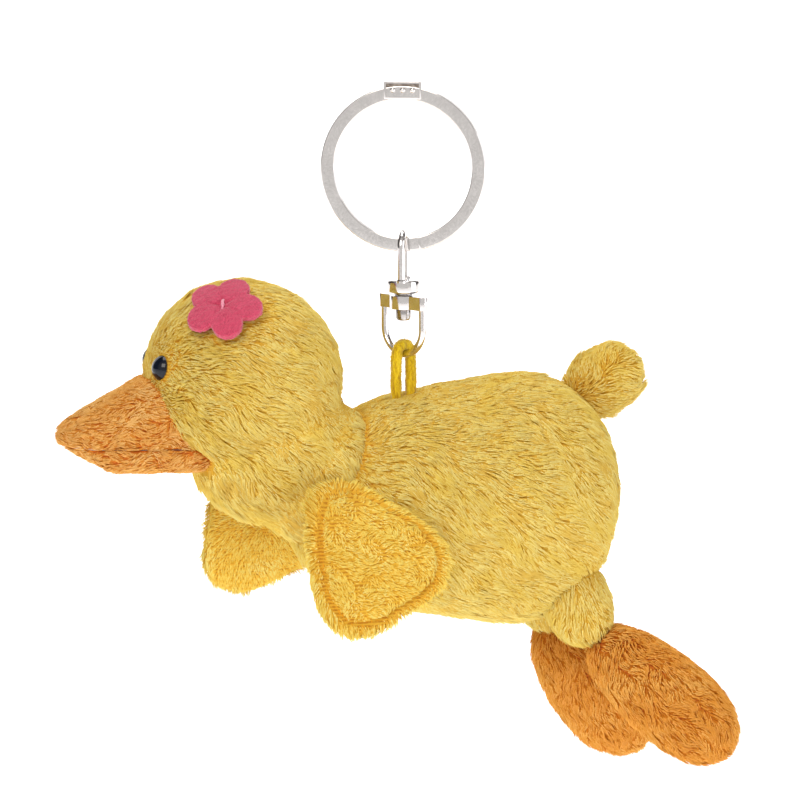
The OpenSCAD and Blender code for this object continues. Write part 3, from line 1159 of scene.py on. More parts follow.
@dataclass
class KeyRing:
    """Flat split ring of two turns, with a blank stamped cartouche at its top."""

    finishes: Finishes
    width: float = 2.05 * MM
    leaf: float = 0.8 * MM
    turn: float = -29.0
    round_edge: float = 0.2 * MM
    badge_length: float = 5.7 * MM
    badge_height: float = 2.7 * MM
    badge_rim: float = 0.35 * MM
    badge_depth: float = 0.6 * MM
    badge_bevel: float = 0.12 * MM
    badge_floor: float = 0.25 * MM
    badge_ahead: float = 0.7 * MM
    badge_lift: float = 0.02 * MM
    bead_radius: float = 0.45 * MM
    bead_spacing: float = 1.5 * MM
    bead_ahead: float = 0.05 * MM
    turn_gap: float = 0.05 * MM
    front_start: float = -86.0
    back_start: float = -98.0
    step_start: float = -97.0
    edge: float = 35.0

    def __post_init__(self) -> None:
        """Read the ring's radius from the frame."""
        low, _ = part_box("key_ring")
        self.outer = -(low.z - self.width) / 2
        self.inner = self.outer - self.width
        self.place = turned(ORIGIN, ("Z", self.turn)) @ turned((0, 0, -self.inner), ("X", 90))

    def section(self) -> list[tuple[float, float]]:
        """List the rounded outline of one turn's wire."""
        points = []
        corners = (
            (self.outer, self.leaf, 0), (self.inner, self.leaf, 90),
            (self.inner, 0.0, 180), (self.outer, 0.0, 270),
        )
        for radius, height, start in corners:
            inward = -1 if radius == self.outer else 1
            down = -1 if height > 0 else 1
            for step in range(4):
                angle = math.radians(start + 30 * step)
                points.append((
                    radius + self.round_edge * (inward + math.cos(angle)),
                    height + self.round_edge * (down + math.sin(angle)),
                ))
        return points

    def turn_of_wire(self, name: str, offset: float, start: float) -> bpy.types.Object:
        """Make one turn, which leaves a gap of eight degrees."""
        piece = spun(name, self.section(), 176, 352.0, ring=True)
        spot = turned(ORIGIN, ("Z", start)) @ Matrix.Translation((0, 0, offset))
        return settle(piece, self.place @ spot)

    def step_between(self) -> bpy.types.Object:
        """Make the short bend where one turn passes into the other."""
        piece = spun("ring_step", self.section(), 5, 5.0, ring=True)
        spot = turned(ORIGIN, ("Z", self.step_start)) @ Matrix.Translation((0, 0, -self.leaf / 2))
        return settle(piece, self.place @ spot)

    def badge(self) -> bpy.types.Object:
        """Make the cartouche: a plate with an inset floor and three beads."""
        bpy.ops.mesh.primitive_cube_add(size=1)
        plate = bpy.context.active_object
        plate.scale = (self.badge_length, self.badge_depth, self.badge_height)
        bpy.ops.object.transform_apply()
        with editing(plate):
            bpy.ops.mesh.bevel(offset=self.badge_bevel, segments=2, affect="EDGES")
        front = [face.index for face in plate.data.polygons if face.normal.y < -0.95]
        largest = max(front, key=lambda index: plate.data.polygons[index].area)
        plate.data.materials.append(self.finishes.nickel)
        plate.data.materials.append(self.finishes.nickel_dark)
        with editing(plate):
            bpy.ops.mesh.select_all(action="DESELECT")
            bpy.ops.object.mode_set(mode="OBJECT")
            plate.data.polygons[largest].select = True
            bpy.ops.object.mode_set(mode="EDIT")
            bpy.ops.mesh.select_mode(type="FACE")
            bpy.ops.mesh.inset(thickness=self.badge_rim - self.badge_bevel)
            plate.active_material_index = 1
            bpy.ops.object.material_slot_assign()
            bpy.ops.mesh.extrude_region_move(
                TRANSFORM_OT_translate={"value": (0, self.badge_floor, 0)}
            )
            bpy.ops.mesh.select_mode(type="VERT")
        beads = [
            ball("bead", Vector((x, -self.bead_ahead, 0)), self.bead_radius, 20)
            for x in (-self.bead_spacing, 0.0, self.bead_spacing)
        ]
        for bead in beads:
            bead.data.materials.append(self.finishes.nickel)
        plate = joined("ring_badge", [plate, *beads])
        spot = Matrix.Translation((0, -self.badge_ahead, self.badge_lift + self.badge_height / 2))
        return settle(plate, turned(ORIGIN, ("Z", self.turn)) @ spot)

    def build(self) -> None:
        """Make the ring and its badge."""
        wire = joined("key_ring_wire", [
            self.turn_of_wire("front_turn", self.turn_gap, self.front_start),
            self.turn_of_wire("back_turn", -self.turn_gap - self.leaf, self.back_start),
            self.step_between(),
        ])
        dress(wire, self.finishes.nickel, "ring", ["key_ring"], self.edge)
        badge = self.badge()
        shade(badge, self.edge)
        declare(badge, "ring")


@dataclass
class Swivel:
    """Wire eye on a turned disc, a rivet and washer, and the bow that turns below them."""

    finishes: Finishes
    wire: float = 0.575 * MM
    turn: float = -29.0
    bow_turn: float = -64.0
    leg: float = 2.25 * MM
    bow_leg: float = 3.925 * MM
    disc_radius: float = 2.6 * MM
    disc_height: float = 2.0 * MM
    band_height: float = 2.0 * MM
    rim: float = 0.35 * MM
    seat: float = 0.3 * MM
    collar_height: float = 0.5 * MM
    shank: float = 0.75 * MM
    shank_depth: float = 1.4 * MM
    tail_height: float = 1.8 * MM
    washer_height: float = 0.35 * MM
    washer_edge: float = 0.06 * MM
    boss_radius: float = 2.1 * MM
    arm_width: float = 1.7 * MM
    bore: float = 0.81 * MM
    band_edge: float = 0.14 * MM
    bow_seat: float = 0.4 * MM
    edge: float = 30.0

    def __post_init__(self) -> None:
        """Read the heights from the frame."""
        low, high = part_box("swivel_eye")
        self.disc_foot = low.z
        self.arch = high.z - self.leg - self.wire
        low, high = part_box("swivel_bow")
        self.bow_foot = low.z + self.wire
        self.band_foot = high.z - self.band_height
        low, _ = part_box("swivel_rivet")
        self.tail_foot = low.z

    def turned_disc(self) -> bpy.types.Object:
        """Make the eye's base, a disc with rounded rims."""
        foot, top = self.disc_foot, self.disc_foot + self.disc_height
        wide, soft = self.disc_radius, self.rim
        profile = [(0.0, foot), (wide - soft, foot)]
        profile += [
            (wide - soft + soft * math.sin(a), foot + soft - soft * math.cos(a))
            for a in np.linspace(0.3, 1.5708, 5)
        ]
        profile += [
            (wide - soft + soft * math.cos(a), top - soft + soft * math.sin(a))
            for a in np.linspace(0.0, 1.3, 5)
        ]
        profile += [(wide - soft, top), (0.0, top)]
        return spun("swivel_base_disc", profile, 64)

    def eye(self) -> None:
        """Make the eye: the wire arch and the disc that it is set in."""
        angles = np.linspace(0, math.pi, 33)
        arch = [(0.0, self.leg * math.cos(a), self.arch + self.leg * math.sin(a)) for a in angles]
        foot = self.disc_foot + self.disc_height - self.seat
        path = [(0.0, self.leg, foot), *arch, (0.0, -self.leg, foot)]
        collars = []
        for y in (-self.leg, self.leg):
            profile = [
                (0.0, foot), (self.wire + 0.2 * MM, foot), (self.wire + 0.2 * MM, foot + 0.32 * MM),
                (self.wire + 0.06 * MM, foot + self.collar_height), (0.0, foot + self.collar_height),
            ]
            collars.append(settle(spun("collar", profile, 32), Matrix.Translation((0, y, 0))))
        wire = tube("swivel_eye_wire", path, self.wire)
        piece = joined("swivel_eye_and_disc", [self.turned_disc(), wire, *collars])
        settle(piece, turned(ORIGIN, ("Z", self.turn)))
        dress(piece, self.finishes.nickel, "eye", ["swivel_eye"], self.edge)

    def rivet(self) -> None:
        """Make the rivet, whose tail is rounded over, and the washer under the disc."""
        low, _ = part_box("rivet_washer")
        tail_top, shank_top = self.tail_foot + self.tail_height, self.disc_foot + self.shank_depth
        rounded = ((0.0, 0.0), (0.7, 0.02), (0.98, 0.14), (1.13, 0.42))
        profile = [(radius * MM, self.tail_foot + rise * MM) for radius, rise in rounded]
        profile += [
            (1.15 * MM, tail_top - 0.25 * MM), (1.05 * MM, tail_top), (self.shank, tail_top),
            (self.shank, shank_top), (0.0, shank_top),
        ]
        piece = spun("swivel_rivet_turned", profile, 48)
        dress(piece, self.finishes.steel, "eye", ["swivel_rivet"], self.edge)
        foot, top, soft = low.z, low.z + self.washer_height, self.washer_edge
        ring = [
            (0.76 * MM, foot), (1.34 * MM, foot), (1.4 * MM, foot + soft),
            (1.4 * MM, top - soft), (1.34 * MM, top), (0.76 * MM, top),
        ]
        washer = spun("swivel_washer_turned", ring, 48, ring=True)
        dress(washer, self.finishes.steel, "eye", ["rivet_washer"], self.edge)

    def band(self) -> bpy.types.Object:
        """Make the flat band: a bored boss with an arm to each leg."""
        height = self.band_height
        bpy.ops.mesh.primitive_cylinder_add(vertices=64, radius=self.boss_radius, depth=height)
        boss = bpy.context.active_object
        bpy.ops.mesh.primitive_cube_add(size=1)
        bar = bpy.context.active_object
        bar.scale = (2 * self.bow_leg, self.arm_width, height)
        bpy.ops.object.transform_apply(location=False, rotation=False, scale=True)
        ends = []
        for x in (-self.bow_leg, self.bow_leg):
            bpy.ops.mesh.primitive_cylinder_add(
                vertices=32, radius=self.arm_width / 2, depth=height, location=(x, 0, 0)
            )
            ends.append(bpy.context.active_object)
        bpy.ops.mesh.primitive_cylinder_add(vertices=48, radius=self.bore, depth=2 * height)
        bore = bpy.context.active_object
        for extra in (bar, *ends):
            modify(boss, "BOOLEAN", operation="UNION", solver="EXACT", object=extra)
        modify(boss, "BOOLEAN", operation="DIFFERENCE", solver="EXACT", object=bore)
        for extra in (bar, bore, *ends):
            bpy.data.objects.remove(extra)
        modify(
            boss, "BEVEL", width=self.band_edge, segments=3, limit_method="ANGLE",
            angle_limit=math.radians(50),
        )
        return settle(boss, Matrix.Translation((0, 0, self.band_foot + height / 2)))

    def bow(self) -> None:
        """Make the bow: its band, and the wire that hangs from it in a narrowing loop."""
        centre = self.bow_foot + self.bow_leg
        angles = np.linspace(math.pi, 2 * math.pi, 41)
        arc = [(self.bow_leg * math.cos(a), 0.0, centre + self.bow_leg * math.sin(a)) for a in angles]
        top = self.band_foot + self.bow_seat
        path = [(-self.bow_leg, 0.0, top), *arc, (self.bow_leg, 0.0, top)]
        piece = joined("swivel_bow_and_band", [self.band(), tube("bow_wire", path, self.wire)])
        settle(piece, turned(ORIGIN, ("Z", self.bow_turn)))
        dress(piece, self.finishes.nickel, "bow", ["swivel_bow"], self.edge)

    def build(self) -> None:
        """Make every piece of the swivel."""
        self.eye()
        self.rivet()
        self.bow()


@dataclass
class CordLoop:
    """Loop of soft cotton cord over the bow, whose ends go into the back seam."""

    finishes: Finishes
    radius: float = 0.825 * MM
    spread: float = 1.46 * MM
    turn: float = 26.0
    fuzz: float = 0.05 * MM
    sunk: float = 1.2 * MM
    bare: float = 3.0 * MM
    bulge: float = 0.16 * MM
    steps: int = 26

    def build(self) -> None:
        """Make the cord with its uneven surface and a halo of loose fibres."""
        low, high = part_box("cord_loop")
        top = high.z - self.spread - self.radius
        foot = low.z + self.radius - self.sunk
        sides = []
        for x in (-self.spread, self.spread):
            heights = np.linspace(foot, top, self.steps)
            bow = self.bulge * np.sin(np.linspace(0, math.pi, self.steps)) * np.sign(x)
            sides.append([(x + shift, 0.0, z) for shift, z in zip(bow, heights)])
        arc = [
            (-self.spread * math.cos(a), 0.0, top + self.spread * math.sin(a))
            for a in np.linspace(0, math.pi, 21)[1:-1]
        ]
        path = [*sides[0], *arc, *reversed(sides[1])]
        cord = tube("cord_loop_yarn", path, self.radius, 7)
        settle(cord, turned(ORIGIN, ("Z", self.turn)))
        refine(cord)
        spots, facings = places_of(cord), facings_of(cord)
        uneven = ripples(spots * (1, 1, 0.45), 0.7 * MM, 71) + 0.6 * ripples(spots, 0.35 * MM, 72)
        move_points(cord, spots + facings * (self.fuzz * uneven)[:, None])
        dress(cord, self.finishes.cotton, "cord", ["cord_loop"], edge=180.0)
        halo = Pile(
            "cord_loop_fibres", self.finishes.cotton_fibre,
            flow=combed(0.2, 0.3, -1.0),
            keep=lambda points: points[:, 2] > foot + self.bare, seed=73, per_mm2=22.0, length=0.5,
            width=0.02, lay=0.55, waver=1.4, wave=0.8, droop=0.0, cling=0.0,
        )
        declare(halo.grow(cord), "cord")


# ---------------------------------------------------------------------------------------------
# Torso, legs and tail
# ---------------------------------------------------------------------------------------------


@dataclass
class Torso:
    """Stuffed body with its back seam, the socket for the neck, and the leg stumps sewn to it."""

    finishes: Finishes
    places: Places
    voxel: float = 1.0 * MM
    socket_gap: float = 0.3 * MM
    leg_length: float = 7.0 * MM
    leg_radius: float = 4.8 * MM
    leg_at: tuple[float, float, float] = (17.2, 7.6, -15.1)
    leg_slope: float = 160.0
    sag: float = 0.8 * MM

    def __post_init__(self) -> None:
        """Work out where the leg stumps are."""
        at = self.places.torso.place.translation + Vector(self.leg_at) * MM
        spot = turned(at, ("Y", self.leg_slope))
        self.legs = {
            side: Egg(self.leg_length, self.leg_radius, mirrored(side, spot), power=2.4) for side in Side
        }

    def flow(self, points: Array, normals: Array) -> Array:
        """Lay the pile from the neck to the rear, drooping a little down the flanks."""
        flow = np.tile((1.0, 0.0, -0.16), (len(points), 1))
        flank = np.abs(normals[:, 1])
        flow[:, 2] -= 0.38 * flank
        rear = np.clip((points[:, 0] - self.places.torso.place.translation.x) / (26 * MM), 0, 1)
        flow[:, 2] -= 0.8 * rear**3
        return flow

    def keep(self, side: Side, rear: bool) -> Measure:
        """Leave out pile that the head and the legs cover, and all but one quarter of the body."""
        middle = self.places.torso.place.translation.x

        def chosen(points: Array) -> Array:
            """Say which roots stay."""
            mine = (points[:, 1] * side.value >= 0) & ((points[:, 0] > middle) == rear)
            covered = self.places.in_head(carried(points, self.places.head_pose.inverted()), 0.4 * MM)
            for leg in self.legs.values():
                covered |= leg.holds(points, -0.4 * MM)
            return mine & ~covered

        return chosen

    def trim(self, points: Array) -> Array:
        """Shorten the pile round the cord's ends and in the crease behind the head."""
        seam = self.places.joints["body_roll"]
        near = np.linalg.norm(points - np.array(seam), axis=1)
        cord = np.clip(0.35 + (near - 1.6 * MM) / (5 * MM), 0.35, 1)
        crease = np.linalg.norm(points - np.array(self.places.neck), axis=1) - 11 * MM
        return cord * np.clip(0.55 + crease / (6 * MM), 0.55, 1)

    def slump(self, skin: bpy.types.Object) -> None:
        """Let the belly sag, press the rear in and lift the back where the tail is sewn."""
        spots = places_of(skin)
        form = self.places.torso
        centre = form.place.translation
        height = (spots[:, 2] - centre.z) / form.radius
        along = (spots[:, 0] - centre.x) / form.length
        belly, lift = 1.6 * self.sag, 1.2 * self.sag
        spots[:, 2] -= belly * np.clip(-height, 0, 1) ** 2 * np.clip((along + 0.15) / 0.45, 0, 1)
        spots[:, 0] -= self.sag * np.clip(along, 0, 1) ** 2 * (1.9 - 1.2 * height)
        hump = np.exp(-(((along - 0.56) / 0.3) ** 2))
        spots[:, 2] += lift * np.clip(height, 0, 1) ** 2 * hump
        move_points(skin, spots)

    def build(self) -> None:
        """Make the skin, its pile and the two leg stumps."""
        skin = self.places.torso.skin("torso_skin")
        remesh(skin, self.voxel, 3)
        self.slump(skin)
        stuff(skin, seam_across(1, 0.0, 0.7 * MM), 0.5 * MM)
        refine(skin)
        socket = ball("socket", self.places.neck, self.places.neck_radius + self.socket_gap, 64)
        modify(skin, "BOOLEAN", operation="DIFFERENCE", solver="EXACT", object=socket)
        bpy.data.objects.remove(socket)
        for side, rear, quarter in quarters():
            pile = Pile(
                f"torso_{quarter}_pile", self.finishes.yellow, self.flow,
                self.keep(side, rear), seed=100 + side.value, trim=self.trim,
            )
            declare(pile.grow(skin), "torso")
        finish_skin(
            skin, self.finishes.backing_yellow, "torso",
            ["torso_left_panel", "torso_right_panel"],
        )
        for side in Side:
            self.leg(side)

    def leg(self, side: Side) -> None:
        """Make one leg stump with its pile."""
        form = self.legs[side]
        skin = form.skin(f"leg_{side.word}_skin")
        remesh(skin, 0.6 * MM, 2)
        stuff(skin, seam_across(1, side.value * self.leg_at[1] * MM, 0.5 * MM), 0.3 * MM)
        pile = Pile(
            f"leg_{side.word}_pile", self.finishes.yellow,
            flow=combed(0.35, 0.0, -1.0),
            keep=lambda points: ~self.places.torso.holds(points, -0.2 * MM), seed=120 + side.value,
            length=1.9,
        )
        declare(pile.grow(skin), "torso")
        finish_skin(
            skin, self.finishes.backing_yellow, "torso", [f"leg_{side.word}"]
        )


@dataclass
class Tail:
    """Short puffed tail, sewn at the top of the rear."""

    finishes: Finishes
    places: Places
    length: float = 5.0 * MM
    radius: float = 4.7 * MM
    slope: float = 30.0
    gap: float = 0.35 * MM
    tuck: float = 1.9 * MM
    drop: float = 0.4 * MM

    def build(self) -> None:
        """Make the skin, whose root is tucked into the body's pile, and the pile."""
        root = self.places.joints["tail_flex"] - Vector((0, 0, self.drop))
        spot = turned(root, ("Y", 90 - self.slope), ("Z", 90))
        out = Matrix.Translation((0, 0, self.length + self.gap - self.tuck / 2))
        form = Egg(self.length + self.tuck / 2, self.radius, spot @ out, swell=0.08, power=2.2)
        skin = form.skin("tail_skin")
        remesh(skin, 0.6 * MM, 2)
        stuff(skin, seam_across(1, 0.0, 0.5 * MM), 0.35 * MM)
        away = np.array(spot.to_3x3() @ Vector((0, 0, 1)))
        torso = self.places.torso
        pile = Pile(
            "tail_pile", self.finishes.yellow,
            flow=lambda points, normals: away + 0.5 * normals + np.array((0, 0, -0.15)),
            keep=lambda points: ~torso.holds(points), seed=140, length=1.9, lay=0.7, roundness=0.8,
            waver=0.7, wave=5.0,
        )
        declare(pile.grow(skin), "tail")
        finish_skin(
            skin, self.finishes.backing_yellow, "tail", ["tail_upper", "tail_lower"]
        )


# ---------------------------------------------------------------------------------------------
# Head
# ---------------------------------------------------------------------------------------------


@dataclass
class Head:
    """Stuffed head with its throat and neck, the bill, the eyes and the felt flower."""

    finishes: Finishes
    places: Places
    voxel: float = 0.8 * MM
    mouth: float = -50.9 * MM
    bill_balls: tuple[tuple[float, float, float, float], ...] = (
        (-34.3, 3.6, 8.3, 4.2), (-41.7, 2.8, 5.0, 3.7), (-48.2, 2.6, 2.0, 3.1),
        (-44.5, 3.8, -0.7, 3.1), (-32.3, 5.0, -0.4, 3.3), (-50.5, 0.0, 1.8, 2.8),
    )
    bill_inset: float = 0.45
    lip: float = 0.02 * MM
    bead_radius: float = 2.1 * MM
    bead_sunk: float = 0.95 * MM
    bead_azimuth: float = 203.0
    bead_rise: float = 11.0
    flower_azimuth: float = 247.0
    flower_rise: float = 49.0
    flower_lift: float = 1.6 * MM
    felt: float = 1.0 * MM
    petal_out: float = 3.55 * MM
    petal_radius: float = 2.3 * MM
    middle_radius: float = 2.9 * MM
    parting: tuple[float, float, float] = (-40.0, 0.0, -45.0)
    face: tuple[float, float, float] = (-40.5, 0.0, -48.0)

    def __post_init__(self) -> None:
        """Work out the places of the eyes and the flower."""
        out = Matrix.Translation((0, 0, self.places.skull_radius))
        self.beads = {
            side: mirrored(
                side,
                turned(
                    self.places.skull, ("Z", -self.bead_azimuth), ("Y", 90 - self.bead_rise)
                ) @ out,
            )
            for side in Side
        }
        lift = Matrix.Translation((0, 0, self.places.skull_radius + self.flower_lift))
        self.flower_spot = turned(
            self.places.skull, ("Z", self.flower_azimuth), ("Y", 90 - self.flower_rise)
        ) @ lift

    def flow(self, points: Array, normals: Array) -> Array:
        """Lay the pile away from the foot of the bill, back over the crown and down the throat."""
        away = unit(points - np.array(self.parting) * MM)
        away[:, 2] -= 0.25 + 0.3 * np.abs(normals[:, 1])
        return away

    def trim(self, points: Array) -> Array:
        """Shorten the pile round the eyes, at the bill and under the flower."""
        share = np.ones(len(points))
        for spot in self.beads.values():
            near = np.linalg.norm(points - np.array(spot.translation), axis=1)
            share = np.minimum(share, np.clip(0.3 + (near - 2.2 * MM) / (4.5 * MM), 0.3, 1))
        near = np.linalg.norm(points - np.array(self.flower_spot.translation), axis=1)
        share = np.minimum(share, np.clip(0.55 + (near - 5.5 * MM) / (4 * MM), 0.55, 1))
        face = np.linalg.norm(points - np.array(self.face) * MM, axis=1)
        return np.minimum(share, np.clip(0.6 + (face - 7 * MM) / (10 * MM), 0.6, 1))

    def keep(self, side: Side, rear: bool) -> Measure:
        """Leave out pile that the body, bill and beads cover, and all but one quarter of the head."""
        middle = self.places.skull.x

        def chosen(points: Array) -> Array:
            """Say which roots stay."""
            covered = self.places.torso.holds(carried(points, self.places.head_pose), -0.2 * MM)
            for x, y, rise, radius in self.bill_balls[:2] + self.bill_balls[4:5]:
                for turn in (-1, 1):
                    centre = Vector((x, y * turn, self.mouth / MM + rise)) * MM
                    covered |= holds_ball(points, centre, (radius - 0.3) * MM)
            bead = np.array(self.beads[side].translation)
            covered |= np.linalg.norm(points - bead, axis=1) < 2.0 * MM
            mine = (points[:, 1] * side.value >= 0) & ((points[:, 0] > middle) == rear)
            return mine & ~covered

        return chosen

    def build(self) -> None:
        """Make the head's skin and pile, then what is sewn to it."""
        skin = joined("head_skin", [
            ball("skull", self.places.skull, self.places.skull_radius, 64),
            ball("throat", self.places.throat, self.places.throat_radius, 64),
            ball("neck", self.places.neck, self.places.neck_radius, 64),
        ])
        remesh(skin, self.voxel, 6)
        stuff(skin, seam_across(1, 0.0, 0.6 * MM), 0.4 * MM)
        refine(skin)
        for side, rear, quarter in quarters():
            pile = Pile(
                f"head_{quarter}_pile", self.finishes.yellow, self.flow, self.keep(side, rear),
                seed=200 + side.value, trim=self.trim, length=2.5, wave=6.0,
            )
            declare(self.posed(pile.grow(skin)), "head")
        finish_skin(
            self.posed(skin), self.finishes.backing_yellow, "head",
            ["head_left_panel", "head_right_panel"],
        )
        self.bill()
        for side in Side:
            self.eye(side)
        self.flower()
        self.stitch()

    def posed(self, piece: bpy.types.Object) -> bpy.types.Object:
        """Turn a piece that was made straight to the way that the head is sewn."""
        piece.data.transform(self.places.head_pose)
        return piece

    def bill_half(self, name: str, above: bool) -> bpy.types.Object:
        """Make the upper or the lower half of the bill.

        Args:
            name: the piece's name.
            above: whether it is the half above the mouth.

        Returns:
            The half as a closed skin with soft edges.
        """
        balls = [
            ball(
                "lobe", Vector((x, y * turn, self.mouth / MM + rise)) * MM,
                (radius - self.bill_inset) * MM, 24,
            )
            for x, y, rise, radius in self.bill_balls
            for turn in ((-1, 1) if y else (1,))
        ]
        piece = joined(name, balls)
        lip = self.lip if above else -self.lip
        with editing(piece):
            bpy.ops.mesh.convex_hull()
            bpy.ops.mesh.select_all(action="SELECT")
            bpy.ops.mesh.bisect(
                plane_co=(0, 0, self.mouth + lip), plane_no=(0, 0, 1),
                use_fill=True, clear_inner=above, clear_outer=not above,
            )
        remesh(piece, 0.5 * MM, 4)
        return piece

    def bill(self) -> None:
        """Make both halves of the bill with their pile."""
        level = self.mouth
        for node, above, length in (("beak_upper", True, 1.5), ("beak_lower", False, 1.4)):
            skin = self.bill_half(f"{node}_skin", above)
            stuff(skin, seam_across(2, level, 0.5 * MM), 0.25 * MM)
            pile = Pile(
                f"{node}_pile", self.finishes.bill,
                flow=combed(-1.0, 0.0, -0.15),
                keep=lambda points: ~self.places.in_head(points, -0.3 * MM)
                & (np.abs(points[:, 2] - level) > 0.12 * MM),
                seed=220 + above, length=length, waver=0.5, wave=4.0,
                cling=0.6, droop=0.02,
            )
            declare(self.posed(pile.grow(skin)), "head")
            finish_skin(self.posed(skin), self.finishes.backing_orange, "head", [node])

    def eye(self, side: Side) -> None:
        """Make one bead eye: a polished dome on a shank that goes through the skin."""
        radius, sunk = self.bead_radius, self.bead_sunk
        start = math.asin((0.02 * MM + sunk) / radius)
        dome = [
            (radius * math.cos(a), radius * math.sin(a) - sunk)
            for a in np.linspace(start, math.pi / 2, 18)
        ]
        dome[-1] = (0.0, radius - sunk)
        shank = [(0.0, -4.2 * MM), (0.6 * MM, -4.2 * MM), (0.7 * MM, -4.1 * MM), (0.7 * MM, 0.02 * MM)]
        piece = settle(spun(f"eye_{side.word}_bead", shank + dome, 48), self.beads[side])
        dress(
            self.posed(piece), self.finishes.bead, "head", [f"eye_{side.word}"], edge=40.0
        )

    def flower(self) -> None:
        """Make the felt flower: five round petals cut from a sheet, drawn in at the stitch."""
        petals = []
        for number in range(5):
            angle = math.radians(72 * number + 20)
            x, y = self.petal_out * math.cos(angle), self.petal_out * math.sin(angle)
            petals.append(self.disc(x, y, self.petal_radius))
        flower = joined("flower_felt", [self.disc(0.0, 0.0, self.middle_radius), *petals])
        remesh(flower, 0.16 * MM, 3)
        spots, facings = places_of(flower), facings_of(flower)
        spots += facings * (0.035 * MM * ripples(spots, 0.5 * MM, 81))[:, None]
        out = np.hypot(spots[:, 0], spots[:, 1])
        angle = np.arctan2(spots[:, 1], spots[:, 0])
        spots[:, 2] -= 0.45 * MM * np.exp(-((out / (1.1 * MM)) ** 2))
        spots[:, 2] -= 0.9 * MM * (out / (self.petal_out + self.petal_radius)) ** 2
        between = np.cos(5 * angle - math.radians(100)) < -0.6
        spots[:, 2] -= np.where(between, 0.18 * MM, 0) * np.clip(1 - out / (4 * MM), 0, 1)
        move_points(flower, spots)
        settle(flower, self.places.head_pose @ self.flower_spot)
        dress(flower, self.finishes.felt, "head", ["flower"], edge=180.0)
        halo = Pile(
            "flower_felt_fibres", self.finishes.felt_fibre,
            flow=lambda points, normals: normals[:, [1, 2, 0]], keep=everywhere,
            seed=82, per_mm2=9.0, length=0.42, width=0.022, lay=0.5, waver=3.0, wave=0.7, droop=0.0,
            cling=0.0,
        )
        declare(halo.grow(flower), "head")

    def disc(self, x: float, y: float, radius: float) -> bpy.types.Object:
        """Make one round of felt."""
        bpy.ops.mesh.primitive_cylinder_add(
            vertices=48, radius=radius, depth=self.felt, location=(x, y, self.felt / 2)
        )
        bpy.ops.object.transform_apply()
        return bpy.context.active_object

    def stitch(self) -> None:
        """Make the stitch that holds the flower: a leg down to the skin and a short bar on top."""
        top = self.felt - 0.3 * MM
        leg = [(0.0, 0.0, 0.05 * MM - self.flower_lift), (0.0, 0.0, top)]
        bar = [
            (0.85 * MM * math.cos(a), 0.1 * MM * math.sin(2 * a), top - 0.1 * MM + 0.35 * MM * math.sin(a))
            for a in np.linspace(0, math.pi, 13)
        ]
        piece = joined("flower_stitch_thread", [
            tube("stitch_leg", leg, 0.3 * MM, 4), tube("stitch_bar", bar, 0.2 * MM, 4),
        ])
        settle(piece, self.places.head_pose @ self.flower_spot)
        dress(piece, self.finishes.thread, "head", ["flower_stitch"], edge=60.0)


# ---------------------------------------------------------------------------------------------
# Wings
# ---------------------------------------------------------------------------------------------


